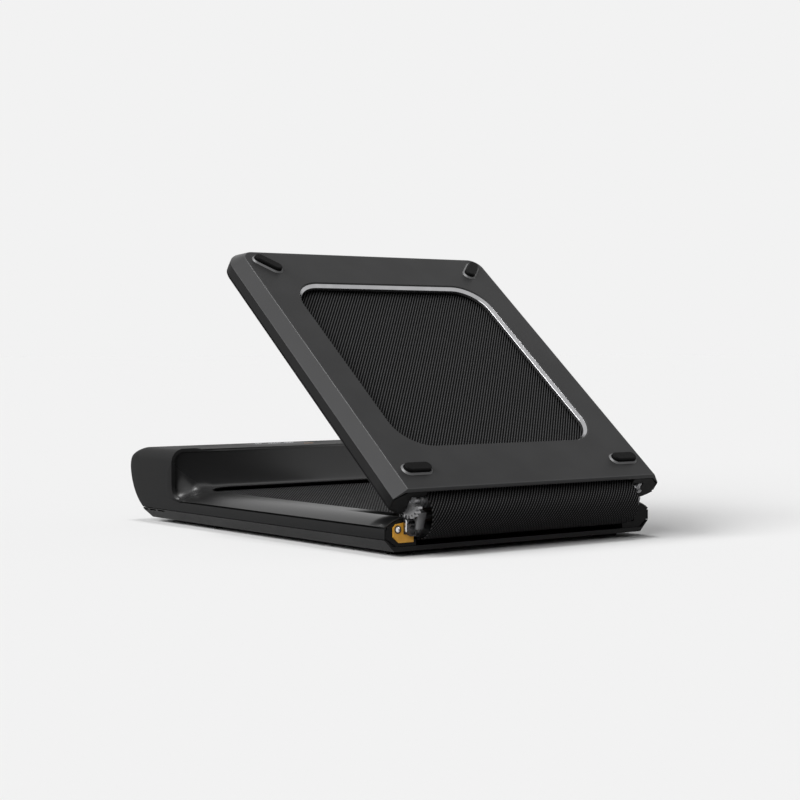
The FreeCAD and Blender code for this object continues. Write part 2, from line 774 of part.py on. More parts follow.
inner_side = dish_side(0)
outer_side = dish_side(3.0)
dish_wire = Part.Wire([
    Part.LineSegment(inner_side[0], inner_side[1]).toShape(),
    Part.Arc(inner_side[1], inner_side[2], inner_side[3]).toShape(),
    Part.LineSegment(inner_side[3], outer_side[3]).toShape(),
    Part.Arc(outer_side[3], outer_side[2], outer_side[1]).toShape(),
    Part.LineSegment(outer_side[1], outer_side[0]).toShape(),
    Part.LineSegment(outer_side[0], inner_side[0]).toShape(),
])
dish_half = half_width.value - hood_wall - seam.value
dish_face = Part.Face(dish_wire)
dish_face.translate(Vector(-dish_half, 0, 0))
dish_solid = dish_face.extrude(Vector(2 * dish_half, 0, 0)).common(hood_block(hood_wall + seam.value))
add("hood_scoop", plain("hood_scoop_shape", dish_solid), front_frame)

# Front skirts, foot rails, caps, frame, deck and feet

for side_name, side in SIDES:
    x_low, x_high = x_span(side, half_width - wall, half_width)
    name = f"front_skirt_{side_name}"
    start, length = front.stretch(-overhang, hood_back - 0.1)
    skirt = pad(name, "XZ_Plane", [box_loop(x_low, skirt_low + seam, x_high, skirt_high)], start, length)
    add(name, skirt, front_frame)
    foot_rail(front, side_name, side, hood_back + dish_depth - 0.5, hood_back - corner_round - 0.3)
end_caps(front)
side_tubes(front, frame_end - 4)
cross_tubes(front, even_places(pocket_end + 54, frame_end - 76, 3))
deck(front, front_roller_at - 27)
deck_cushions(front, even_places(pocket_end + 44, frame_end - 116, 4))
foot_near = pocket_end + 0
foot_x = rail_inner - 0.5
foot_far = frame_end - 155
feet(front, ((-foot_x, foot_near, 0), (foot_x, foot_near, 0), (-foot_x, foot_far, 0), (foot_x, foot_far, 0)))

# Drive under the hood: roller, pulley, motor, drive belt, controller

roller_y = front_roller_at
bracket_members = roller_brackets(front, frame_end - 3.7, front_roller_at + 10, front_roller_at)
add("front_roller_brackets", group("front_bracket_group", bracket_members), front_frame)
shaft_reach = tube_inner + 10
add("front_roller_shaft", rod("front_shaft", size["shaft_radius"], -shaft_reach, shaft_reach,
                              roller_y, roller_height), front_frame)
roller_reach = rail_inner - 0.3
add("front_roller", roller("front_roller_shape", front, front_roller_at, roller_reach,
                           size["roller_radius"], size["shaft_radius"], roller_height), front_frame)
PULLEY_RADIUS = 18.0
MOTOR_PULLEY_RADIUS = 8.0
MOTOR_RADIUS = 26.0
pulley_low = rail_inner + 0
pulley_high = tube_inner - 0.7
wheel_disc = rod("pulley_disc", PULLEY_RADIUS, pulley_low, pulley_high, roller_y, roller_height)
wheel_bore = rod("pulley_bore", size["shaft_radius"] + size["running_gap"], pulley_low - 1, pulley_high + 1,
                 roller_y, roller_height)
add("roller_pulley", cut("roller_pulley_shape", wheel_disc, [wheel_bore]), front_frame)
beam_low = roller_height + 21.5
beam_high = beam_low + 3.5
motor_y = front_roller_at + 32
motor_z = beam_high + 0.2 + MOTOR_RADIUS
beam_near = front_roller_at + 33
beam_far = front_roller_at + 46
bracket_parts = [box("motor_beam", (-tube_inner - 7, beam_near, beam_low),
                     (tube_inner + 7, beam_far, beam_high))]
for side_name, side in SIDES:
    x_low, x_high = x_span(side, tube_inner + 1, tube_inner + 7)
    leg_near = front_roller_at - 2
    leg_far = front_roller_at + 10
    bracket_parts.append(box(f"motor_leg_{side_name}", (x_low, leg_near, roller_height + 10.2),
                             (x_high, leg_far, beam_low)))
    bracket_parts.append(box(f"motor_arm_{side_name}", (x_low, leg_near, beam_low),
                             (x_high, beam_near, beam_high)))
add("motor_bracket", fuse("motor_bracket_shape", bracket_parts), front_frame)
can = rod("motor_can", MOTOR_RADIUS, motor_start, motor_end, motor_y, motor_z)
can_bore = rod("motor_bore", 4 + size["running_gap"], motor_start + 20, motor_end + 1, motor_y, motor_z)
add("motor_housing", cut("motor_housing_shape", can, [can_bore]), front_frame)
motor_shaft = rod("motor_shaft", 4 + zero, motor_start + 25, pulley_high + 1, motor_y, motor_z)
motor_pulley = rod("motor_pulley", MOTOR_PULLEY_RADIUS, pulley_low, pulley_high, motor_y, motor_z)
add("motor_rotor", fuse("motor_rotor_shape", [motor_shaft, motor_pulley]), front_frame)


def pulley_hull(first, first_radius, second, second_radius):
    """Face bounded by two circles in the YZ plane and their outer tangents."""
    along = second - first
    gap = along.Length
    along = along * (1 / gap)
    across = Vector(0, -along.z, along.y)
    lean = (first_radius - second_radius) / gap
    level = math.sqrt(1 - lean ** 2)
    upper = along * lean + across * level
    lower = along * lean - across * level
    return Part.Face(Part.Wire([
        Part.LineSegment(first + upper * first_radius, second + upper * second_radius).toShape(),
        Part.Arc(second + upper * second_radius, second + along * second_radius,
                 second + lower * second_radius).toShape(),
        Part.LineSegment(second + lower * second_radius, first + lower * first_radius).toShape(),
        Part.Arc(first + lower * first_radius, first - along * first_radius,
                 first + upper * first_radius).toShape(),
    ]))


roller_middle = spot(pulley_low + 0.5, roller_y, roller_height)
motor_middle = spot(pulley_low + 0.5, motor_y, motor_z)
DRIVE_GAP = 0.3
DRIVE_THICK = 2.0
outer_face = pulley_hull(roller_middle, PULLEY_RADIUS + DRIVE_GAP + DRIVE_THICK,
                         motor_middle, MOTOR_PULLEY_RADIUS + DRIVE_GAP + DRIVE_THICK)
inner_face = pulley_hull(roller_middle, PULLEY_RADIUS + DRIVE_GAP, motor_middle,
                         MOTOR_PULLEY_RADIUS + DRIVE_GAP)
drive_width = Vector((pulley_high - pulley_low).value - 1, 0, 0)
add("drive_belt", plain("drive_belt_shape", outer_face.cut(inner_face).extrude(drive_width)), front_frame)
controller_end = zero + inlet_x - inlet_half - 18.5
add("controller_box", box("controller", (21.5 - rail_inner, beam_near - 26, beam_high),
                          (controller_end, beam_far, beam_high + 46)), front_frame)

# Display set into the hood top

glass = raw_box((-display_half + 0.2, display_near + 0.2, hood_top - display_deep + 0.1),
                (display_half - 0.2, display_far - 0.2, hood_top))
add("display_window", plain("display_window_shape", glass), front_frame)

# Power inlet in a well of the hood front, with a rocker switch

well = raw_box((inlet_x - inlet_half - 2, inlet_back - 3, inlet_low - 2),
               (inlet_x + inlet_half + 2, inlet_back + 60, inlet_high + 2))
well = well.cut(raw_box((inlet_x - inlet_half, inlet_back, inlet_low),
                        (inlet_x + inlet_half, inlet_back + 60, inlet_high)))
well = well.common(hood_block(hood_wall + 0.2))
socket_middle = Vector(inlet_x - 11, inlet_back, (inlet_low + inlet_high) / 2)
socket = raw_box((socket_middle.x - 14, inlet_back - 18, socket_middle.z - 10.5),
                 (socket_middle.x + 14, inlet_back + 2, socket_middle.z + 10.5))
cavity = raw_box((socket_middle.x - 12, inlet_back - 14, socket_middle.z - 8.5),
                 (socket_middle.x + 12, inlet_back + 3, socket_middle.z + 8.5))
pins = [raw_box((socket_middle.x + shift - 1, inlet_back - 15, socket_middle.z + rise - 2),
                (socket_middle.x + shift + 1, inlet_back - 6, socket_middle.z + rise + 2))
        for shift, rise in ((-7, -1.5), (7, -1.5), (0, 2))]
rocker_x = inlet_x + 16
rocker_half = 7.0
rocker_slot = raw_box((rocker_x - 6.4, inlet_back - 9, socket_middle.z - rocker_half - 0.8),
                      (rocker_x + 6.4, inlet_back + 3, socket_middle.z + rocker_half + 0.8))
switch_case = raw_box((rocker_x - 8.4, inlet_back - 12, socket_middle.z - rocker_half - 2.8),
                      (rocker_x + 8.4, inlet_back, socket_middle.z + rocker_half + 2.8))
inlet = well.fuse([socket, switch_case]).cut(cavity).fuse(pins).cut(rocker_slot)
add("power_inlet", plain("power_inlet_shape", inlet.removeSplitter()), front_frame)
rocker_z = socket_middle.z
rocker_y = inlet_back - 3
rocker = raw_box((rocker_x - 6.2, inlet_back - 6, rocker_z - rocker_half),
                 (rocker_x + 6.2, inlet_back + 1.5, rocker_z + rocker_half))
add("rocker_switch", plain("rocker_switch_shape", rocker), front_frame)

# Transport wheels between the belt and the side tubes

wheel_y = frame_end - 32
wheel_z = size["wheel_radius"] + 2
axles = []
for side_name, side in SIDES:
    x_low, x_high = x_span(side, rail_inner + 1, tube_inner - 1)
    tread = rod(f"wheel_{side_name}_tread", size["wheel_radius"], x_low, x_high, wheel_y, wheel_z)
    hole = rod(f"wheel_{side_name}_bore", 3 + size["running_gap"], x_low - 1, x_high + 1, wheel_y, wheel_z)
    add(f"wheel_{side_name}", cut(f"wheel_{side_name}_shape", tread, [hole]), front_frame)
    x_low, x_high = x_span(side, rail_inner + 0.5, tube_inner)
    axles.append(rod(f"axle_{side_name}", 3 + zero, x_low, x_high, wheel_y, wheel_z))
add("wheel_axles", group("axle_group", axles), front_frame)

# Hinge leaves: an eye about the fold axis and a tang in the side tube, toothed on the left

leaf_low = tube_inner + 6
leaf_high = leaf_low + 7.5
MODULE = 2 * pitch_radius.value / size["gear_teeth"].value
PRESSURE = math.radians(20)
BACKLASH = 0.3
root_radius = pitch_radius.value - 1.25 * MODULE
tip_radius = pitch_radius.value + 0.85 * MODULE
base_radius = pitch_radius.value * math.cos(PRESSURE)


def involute(radius):
    """Turn of an involute flank between its base circle and a radius."""
    lean = math.acos(min(1.0, base_radius / radius))
    return math.tan(lean) - lean


def half_tooth(radius):
    """Half of the angle that a tooth fills at a radius."""
    at_pitch = (math.pi * MODULE / 2 - BACKLASH) / (2 * pitch_radius.value)
    return at_pitch + involute(pitch_radius.value) - involute(max(radius, base_radius))


def gear_point(radius, angle):
    return Vector(0, radius * math.cos(angle), radius * math.sin(angle))


def tooth(angle, width):
    """One tooth whose flanks are arcs through three points of the involute."""
    flank_radii = (base_radius, pitch_radius.value, tip_radius)
    rising = [gear_point(radius, angle - half_tooth(radius)) for radius in flank_radii]
    falling = [gear_point(radius, angle + half_tooth(radius)) for radius in flank_radii]
    foot_radius = root_radius - 1
    foot_low = gear_point(foot_radius, angle - half_tooth(base_radius))
    foot_high = gear_point(foot_radius, angle + half_tooth(base_radius))
    edges = [
        Part.LineSegment(foot_low, rising[0]).toShape(),
        Part.Arc(rising[0], rising[1], rising[2]).toShape(),
        Part.LineSegment(rising[2], falling[2]).toShape(),
        Part.Arc(falling[2], falling[1], falling[0]).toShape(),
        Part.LineSegment(falling[0], foot_high).toShape(),
        Part.LineSegment(foot_high, foot_low).toShape(),
    ]
    return Part.Face(Part.Wire(edges)).extrude(Vector(width, 0, 0))


def pie(radius, width, start, sweep):
    """Sector about the X axis, from an angle counted from +Y towards +Z."""
    sector = Part.makeCylinder(radius, width, Vector(0, 0, 0), axis_line, sweep)
    sector.rotate(Vector(0, 0, 0), axis_line, start - 90)
    return sector


def hinge_leaf(half, side_name, side, first_tooth):
    """One leaf: an eye on the fold shaft and a tang. Only the left leaves are toothed, and keep the
    halves in step. Angles run from the far end over the top to the other half."""
    width = (leaf_high - leaf_low).value
    pitch_angle = 2 * math.pi / size["gear_teeth"].value
    hub = Part.makeCylinder(11, width, Vector(0, 0, 0), axis_line)
    hub = hub.cut(raw_box((-1, -12, -12), (width + 1, 0.3 - overhang.value, -1)))
    tang_top = (tube_high - size["tube_wall"] - axis_height).value - 0.2
    solids = [raw_box((0, 0, tang_top - 9), (width, pocket_end.value + 60, tang_top))]
    if side < 0:
        solids.append(pie(root_radius, width, 75, 120))
        for number in range(7):
            solids.append(tooth(math.pi - (first_tooth + number) * pitch_angle, width))
    leaf = hub.fuse(solids).removeSplitter()
    leaf = leaf.cut(Part.makeCylinder((size["fold_shaft_radius"] + size["running_gap"]).value, width + 2,
                                      Vector(-1, 0, 0), axis_line))
    if half.sense < 0:
        leaf = leaf.mirror(Vector(0, 0, 0), Vector(0, 1, 0))
    x_low = x_span(side, leaf_low, leaf_high)[0]
    leaf.translate(spot(x_low, half.at(0), axis_height))
    return plain(f"{half.name}_leaf_{side_name}", leaf)


for half, first_tooth in ((front, -0.5), (rear, -1)):
    leaves = [hinge_leaf(half, side_name, side, first_tooth) for side_name, side in SIDES]
    add(f"{half.name}_hinge_leaves", group(f"{half.name}_leaf_group", leaves), half.frame)

# Guard plate on the left cap, with its screw

plate_face = -overhang - 1.5
plate_points = [(15, 30), (25.5, 21), (53, 21), (53, 32), (34.2, 33), (34.2, 50.5), (20, 48.7), (15, 44)]
plate_loop = [(-half_width + inward, zero + rise) for inward, rise in plate_points]
guard = pad("hinge_guard_plate", "XZ_Plane", [plate_loop], plate_face, zero + 1.5)
add("hinge_guard_plate", guard, front_frame)
screw = doc.addObject("Part::Cylinder", "guard_screw")
bind(screw, "Radius", zero + 3.4)
bind(screw, "Height", zero + 1.6)
screw.Placement = Placement(spot(-half_width + 25, plate_face, 38.8), Rotation(axis_line, 90))
add("guard_plate_screw", screw, front_frame)

# Fold link: castings, shafts, bridge blade and fold rollers, drawn in the flat pose

casting_low = rail_inner + 0.3
casting_mid = casting_low + 4.7
casting_high = leaf_low - 0.8
for side_name, side in SIDES:
    name = f"link_casting_{side_name}"
    x_low, x_high = x_span(side, casting_low, casting_mid)
    y_front = zero
    y_rear = -link_length
    parts = [
        rod(name + "_boss_front", zero + 9, x_low, x_high, y_front, axis_height),
        rod(name + "_boss_rear", zero + 9, x_low, x_high, y_rear, axis_height),
        box(name + "_bar", (x_low, y_rear, axis_height - 9), (x_high, y_front, axis_height + 9)),
        box(name + "_post", (x_low, -pitch_radius - 6, axis_height - 9),
            (x_high, -pitch_radius + 6, axis_height + 18)),
    ]
    x_low, x_high = x_span(side, casting_low, casting_high)
    parts.append(box(name + "_lobe", (x_low, y_rear + 11, axis_height - 20),
                     (x_high, -size["fold_shaft_radius"] - 6, axis_height + 7)))
    body = fuse(name + "_body", parts)
    x_low, x_high = x_span(side, casting_low - 1, casting_high + 1)
    bores = [rod(f"{name}_bore_{number}", size["fold_shaft_radius"] + 0.02, x_low, x_high, y, axis_height)
             for number, y in enumerate((y_front, y_rear))]
    x_low, x_high = x_span(side, casting_mid, casting_high + 1)
    for number, shift in enumerate((-8.2, 1.6)):
        bores.append(box(f"{name}_groove_{number}", (x_low, -pitch_radius + shift, axis_height - 17),
                         (x_high, -pitch_radius + shift + 6.6, axis_height + 4)))
    add(name, cut(name + "_shape", body, bores), link_frame)
shaft_end = leaf_high + 1
for name, y in (("fold_shaft_front", zero), ("fold_shaft_rear", -link_length)):
    add(name, rod(name, size["fold_shaft_radius"], -shaft_end, shaft_end, y, axis_height), link_frame)
blade_half = zero + 2.5
blade_top = size["hinge_depth"] - size["belt_drop"] - size["belt_thickness"] - size["belt_gap"]
blade_outline = [
    (-pitch_radius - blade_half, axis_height - 9),
    (-pitch_radius + blade_half, axis_height - 9),
    (-pitch_radius + blade_half, axis_height + blade_top - blade_half, -pitch_radius,
     axis_height + blade_top - blade_half, 1),
    (-pitch_radius - blade_half, axis_height + blade_top - blade_half),
]
bridge_reach = casting_low - 0.2
blade = pad("fold_bridge", "YZ_Plane", [blade_outline], -bridge_reach, 2 * bridge_reach)
add("fold_bridge", blade, link_frame)
fold_reach_x = belt_half - 3
for name, half in (("fold_roller_front", front), ("fold_roller_rear", rear)):
    add(name, roller(name + "_shape", half, zero, fold_reach_x, fold_roller_radius,
                     size["fold_shaft_radius"], axis_height), link_frame)

# Rear half: pan with a belt window, skirt round the far end, end cover

far = size["rear_reach"] + 0


def far_outline(inset, near):
    """Plan outline of the rear half, rounded at the far corners, anticlockwise from the left."""
    wide = half_width - inset
    end = rear.at(far - inset)
    radius = size["far_corner"] - inset
    return [
        (wide, rear.at(near)),
        (-wide, rear.at(near)),
        (-wide, end + radius, -wide + radius, end + radius, 1),
        (-wide + radius, end),
        (wide - radius, end, wide - radius, end + radius, 1),
        (wide, end + radius),
    ]


def chamfered_tray(name, inset, near, low, high, chamfer):
    """Solid tray with a chamfer round its lower edge, except at the hinge end."""
    tray = pad(name, "XY_Plane", [far_outline(inset, near)], low, high - low)
    hinge_y = float(rear.at(near))

    def lower_edge(edge):
        bounds = edge.BoundBox
        at_bottom = bounds.ZMax < float(low) + 1e-6
        return at_bottom and bounds.YMin < hinge_y - 1e-6

    round_edges(tray, name + "_chamfer", chamfer, lower_edge, "PartDesign::Chamfer")
    return tray


tray_outer = chamfered_tray("rear_tray_outer", zero, -overhang, pan_low, skirt_low,
                            size["edge_chamfer"] - seam)
tray_inner = chamfered_tray("rear_tray_inner", bevel_wall, -overhang + wall, pan_floor, skirt_low + 4,
                            size["edge_chamfer"] - wall)
y_low, y_high = rear.span(size["window_start"], size["window_start"] + size["window_length"])
window_half = half_width - size["window_margin"]
collar_top = pan_low + 11
collar_loop = rounded_box_loop(-window_half - 3, y_low - 3, window_half + 3, y_high + 3,
                               size["window_corner"] + 3)
collar = pad("window_collar", "XY_Plane", [collar_loop], pan_low + 1, collar_top - pan_low - 1)
sections = []
for name, level, inset in (("window_rim", pan_low, zero),
                           ("window_throat", collar_top, size["window_bevel"])):
    sketch = doc.addObject("Sketcher::SketchObject", name)
    sketch.Placement = Placement(spot(0, 0, level), Rotation())
    draw_loop(sketch, rounded_box_loop(-window_half + inset, y_low + inset, window_half - inset,
                                       y_high - inset, size["window_corner"] - inset))
    sections.append(sketch)
window = doc.addObject("Part::Loft", "window_cutter")
window.Sections = sections
window.Solid = True
window.Ruled = True
tray = cut("rear_tray", tray_outer, [tray_inner, lip_cutter(rear)])
add("rear_pan", cut("rear_pan_shape", fuse("rear_tray_collar", [tray, collar]), [window]), rear_frame)

skirt_outer = far_outline(zero, -overhang)
skirt_inner = far_outline(wall, -overhang)
skirt_loop = skirt_outer[1:6] + [skirt_outer[0], skirt_inner[0]]
for corner, after in ((skirt_inner[5], skirt_inner[4]), (skirt_inner[3], skirt_inner[2])):
    skirt_loop.append((corner[0], corner[1], after[2], after[3], -1))
    skirt_loop.append((after[0], after[1]))
skirt_loop.append(skirt_inner[1])
skirt = pad("rear_skirt", "XY_Plane", [skirt_loop], skirt_low + seam, size["skirt_height"] - seam)
add("rear_skirt", skirt, rear_frame)
cover_near = far - size["far_corner"] - 6
cover_in = rear_roller_at + loop_outer + 2
cover_loop = far_outline(zero, cover_near)
cover_loop = [cover_loop[0], (rail_inner, rear.at(cover_near)), (rail_inner, rear.at(cover_in)),
              (-rail_inner, rear.at(cover_in)), (-rail_inner, rear.at(cover_near))] + cover_loop[1:]
cover = pad("rear_end_cover", "XY_Plane", [cover_loop], crown_low, rail_top - crown_low)


def cover_edge(edge):
    """Outer upper edges of the end cover."""
    bounds = edge.BoundBox
    at_top = bounds.ZMin > rail_top.value - 1e-6
    outer = max(abs(bounds.XMin), abs(bounds.XMax)) > half_width.value - 1e-6
    across = bounds.YMin < float(rear.at(far)) + 1e-6
    return at_top and (outer or across) and bounds.YMin < float(rear.at(cover_near)) - 1e-6


round_edges(cover, "rear_end_cover_round", zero + 13, cover_edge)
for side_name, side in SIDES:
    x_low, x_high = x_span(side, rail_inner - 5, tube_inner + 13)
    y_low, y_high = rear.span(cover_near - 1, rear_roller_at + 31)
    carve(cover, f"rear_end_cover_hollow_{side_name}", "XY_Plane", [box_loop(x_low, y_low, x_high, y_high)],
          crown_low - 5, roller_height + 12 - crown_low + 5)
add("rear_end_cover", cover, rear_frame)
for side_name, side in SIDES:
    foot_rail(rear, side_name, side, cover_near - 0.3)
end_caps(rear)
side_tubes(rear, rear_roller_at - 26)
cross_tubes(rear, even_places(pocket_end + 54, rear_roller_at - 58, 3))
deck(rear, rear_roller_at - 29)
deck_cushions(rear, even_places(pocket_end + 44, rear_roller_at - 68, 4))
corner_x = foot_x + 5
corner_far = size["rear_reach"] - 52
feet(rear, ((-foot_x, foot_near, 0), (foot_x, foot_near, 0),
            (-corner_x, corner_far, 45), (corner_x, corner_far, -45)))

# Rear roller and its tension bolts

rear_members = roller_brackets(rear, rear_roller_at - 25.7, rear_roller_at + 14, rear_roller_at)
bolts = []
bracket_cuts = []
for number, (side_name, side) in enumerate(SIDES):
    x_low, x_high = x_span(side, tube_inner + 0.5, tube_inner + 8.5)
    x = (x_low + x_high) / 2
    tip = rear_roller_at + size["shaft_radius"] + 0.3
    for name, radius, near, reach in ((f"tension_bore_{side_name}", 3.05, zero, 24),
                                      (f"tension_thread_{side_name}", 3.0, zero, 16)):
        stem = doc.addObject("Part::Cylinder", name)
        bind(stem, "Radius", zero + radius)
        bind(stem, "Height", zero + reach)
        stem.Placement = Placement(spot(x, rear.at(tip), roller_height), Rotation(axis_line, 90))
        bracket_cuts.append(stem)
    head = doc.addObject("Part::Cylinder", f"tension_head_{side_name}")
    bind(head, "Radius", zero + 5)
    bind(head, "Height", zero + 6)
    head.Placement = Placement(spot(x, rear.at(tip + 16), roller_height), Rotation(axis_line, 90))
    stem = bracket_cuts.pop()
    bolts.append(fuse(f"tension_bolt_{side_name}", [stem, head]))
    rear_members[number] = cut(f"rear_bracket_bored_{side_name}", rear_members[number],
                               [bracket_cuts.pop()])
add("rear_roller_brackets", group("rear_bracket_group", rear_members), rear_frame)
add("tension_bolts", group("tension_bolt_group", bolts), rear_frame)
add("rear_roller_shaft", rod("rear_shaft", size["shaft_radius"], -shaft_reach, shaft_reach,
                             rear.at(rear_roller_at), roller_height), rear_frame)
add("rear_roller", roller("rear_roller_shape", rear, rear_roller_at, belt_half + 1,
                          size["roller_radius"], size["shaft_radius"], roller_height), rear_frame)

# Running belt: a loop end in each half, and two arcs that bridge the open fold

lower_tangent = -upright
upper_neutral = (size["hinge_depth"] - size["belt_drop"] - size["belt_thickness"] / 2).value
blade_clear = (blade_top + size["belt_gap"] + size["belt_thickness"] / 2).value
inner_middle = (blade_clear + leaning - upper_neutral) / (1 - math.cos(fold_turn))
inner_arc = leaning - upper_neutral + math.cos(fold_turn) * inner_middle
upper_tangent = math.sin(fold_turn) * inner_middle - upright
belt_start = -belt_half


def belt_end(half, roller_at):
    """Upper run, turn round the end roller, and lower run."""
    sense = half.sense
    turn_y = half.at(roller_at)
    upper_y = half.at(upper_tangent)
    lower_y = half.at(lower_tangent)
    loop = [
        (upper_y, belt_top),
        (upper_y, belt_under),
        (turn_y, belt_under, turn_y, roller_height, -sense),
        (turn_y, roller_height - loop_inner),
        (lower_y, roller_height - loop_inner),
        (lower_y, lower_run),
        (turn_y, lower_run, turn_y, roller_height, sense),
        (turn_y, belt_top),
    ]
    name = f"belt_{half.name}"
    add(name, pad(name, "YZ_Plane", [loop], belt_start, belt_width), half.frame)


belt_end(front, front_roller_at)
belt_end(rear, rear_roller_at)


def belt_arc(name, centre_height, neutral):
    """Arc of belt about a point on the link's middle line, drawn in the link's flat pose."""
    thick = size["belt_thickness"].value
    centre = Vector(belt_start.value, -pitch_radius.value, axis_height.value + centre_height)
    ring = Part.makeCylinder(neutral + thick / 2, belt_width.value, centre, axis_line)
    ring = ring.cut(Part.makeCylinder(neutral - thick / 2, belt_width.value, centre, axis_line))
    wedge = pie(neutral + 9, belt_width.value, -90 - fold_half, 2 * fold_half)
    wedge.translate(centre)
    add(name, plain(name + "_shape", ring.common(wedge)), link_frame)


belt_arc("belt_fold_lower", 0.0, fold_arc)
belt_arc("belt_fold_upper", inner_middle, inner_arc)

# Check every object, then write the sub-parts

doc.recompute()
for thing in doc.Objects:
    if "Invalid" in thing.State or "Error" in thing.State:
        raise RuntimeError(f"{thing.Name} did not recompute: {thing.State}")
os.makedirs("parts", exist_ok=True)
for name, thing in pieces.items():
    if thing.Shape.isNull() or not thing.Shape.isValid() or thing.Shape.Volume <= 0:
        raise RuntimeError(f"{name} has no valid shape")
    thing.Shape.exportStep(f"parts/{name}.step")
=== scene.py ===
# %% [markdown]
# # A folding walking pad
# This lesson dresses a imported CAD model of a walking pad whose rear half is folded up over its
# front half. The CAD model fixes where everything is and how it moves. Here each visible piece
# gets its moulded shape, its finish, and the light of a plain studio.

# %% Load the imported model
import json

import bmesh
import bpy
import numpy as np
from mathutils import Matrix


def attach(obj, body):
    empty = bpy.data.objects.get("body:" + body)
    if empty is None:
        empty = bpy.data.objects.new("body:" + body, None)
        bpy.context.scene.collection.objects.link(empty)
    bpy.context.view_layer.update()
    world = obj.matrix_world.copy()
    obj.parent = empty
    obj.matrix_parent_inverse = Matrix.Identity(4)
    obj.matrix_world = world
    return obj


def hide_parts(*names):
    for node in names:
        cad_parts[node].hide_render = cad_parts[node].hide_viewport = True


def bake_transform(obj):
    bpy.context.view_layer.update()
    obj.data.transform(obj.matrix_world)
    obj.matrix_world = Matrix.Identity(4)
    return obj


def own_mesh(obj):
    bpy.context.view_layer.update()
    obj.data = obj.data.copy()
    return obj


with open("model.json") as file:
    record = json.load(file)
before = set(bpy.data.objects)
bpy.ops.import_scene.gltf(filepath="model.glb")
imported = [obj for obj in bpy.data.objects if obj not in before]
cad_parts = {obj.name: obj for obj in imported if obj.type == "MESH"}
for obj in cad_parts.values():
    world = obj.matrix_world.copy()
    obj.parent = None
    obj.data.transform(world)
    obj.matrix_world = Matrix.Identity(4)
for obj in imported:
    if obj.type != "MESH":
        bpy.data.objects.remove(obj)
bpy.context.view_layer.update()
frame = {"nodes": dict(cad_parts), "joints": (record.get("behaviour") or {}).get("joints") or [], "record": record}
nodes = frame["nodes"]
scene = bpy.context.scene

# %% [markdown]
# ## Where the two halves are
# Both halves are easiest to draw lying flat, measured from their own hinge axis. So every shape
# below is worked out in millimetres in that flat drawing, and one of two small functions puts it
# where the half is at rest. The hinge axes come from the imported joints, so nothing is fitted by eye.

# %% Places of the halves
joint_at = {joint["name"]: 1000 * np.array(joint["pos_m"]) for joint in frame["joints"]}
front_axis = joint_at["fold_link"]
rear_axis = joint_at["rear_fold"]
AXIS_HEIGHT = front_axis[2]
OPENING = np.radians(38.86)
FOLD = np.pi - OPENING


def place_front(points):
    """Front half: x stays, the distance from the front axis runs along +Y, height stays."""
    return points + np.array([0.0, front_axis[1], 0.0])


def place_rear(points):
    """Rear half: the flat drawing is turned by the fold angle about the rear axis."""
    x, along, up = points[..., 0], points[..., 1], points[..., 2] - AXIS_HEIGHT
    y = rear_axis[1] + np.cos(OPENING) * along + np.sin(OPENING) * up
    z = rear_axis[2] + np.sin(OPENING) * along - np.cos(OPENING) * up
    return np.stack([x, y, z], axis=-1)


print("front axis", front_axis, "rear axis", rear_axis)

# %% [markdown]
# ## From a grid of points to a mesh
# A moulded cover is a sheet bent in space: a function of two parameters. If the function is
# evaluated on a grid, rows times columns, the faces are simply the cells of that grid. Several
# grids can make one piece, and points that fall together are merged, so that seams and poles close.

# %% Grid helpers
MILLIMETRE = 0.001
SHARP_ANGLE = np.radians(32)
EDGE_ANGLE = np.radians(55)


def grid_cells(rows, columns, start, wrap):
    """Corner numbers of each cell, row by row. A wrapped grid joins its last column to its first."""
    index = start + np.arange(rows * columns).reshape(rows, columns)
    if wrap:
        index = np.concatenate([index, index[:, :1]], axis=1)
    return np.stack([index[:-1, :-1], index[:-1, 1:], index[1:, 1:], index[1:, :-1]], axis=-1)


def join_grids(grids):
    """One list of points and faces from (points, wrap, keep) grids. Equal points become one."""
    points, cells, start = [], [], 0
    for grid, wrap, keep in grids:
        rows, columns = grid.shape[:2]
        quads = grid_cells(rows, columns, start, wrap)
        cells.append(quads[keep] if keep is not None else quads.reshape(-1, 4))
        points.append(grid.reshape(-1, 3))
        start += rows * columns
    points = np.concatenate(points)
    quads = np.concatenate(cells)
    _, first, same = np.unique(np.round(points, 3), axis=0, return_index=True, return_inverse=True)
    quads = same.reshape(-1)[quads]
    distinct = 1 + (np.diff(np.sort(quads, axis=1), axis=1) != 0).sum(axis=1)
    folded = quads[distinct == 3]
    repeated = folded == np.roll(folded, -1, axis=1)
    folded = folded[repeated.sum(axis=1) == 1]
    repeated = folded == np.roll(folded, -1, axis=1)
    faces = quads[distinct == 4].tolist() + folded[~repeated].reshape(-1, 3).tolist()
    return points[first], faces, first


def closed(grid):
    """A wrapped grid with all its cells, as join_grids takes it."""
    return grid, True, None


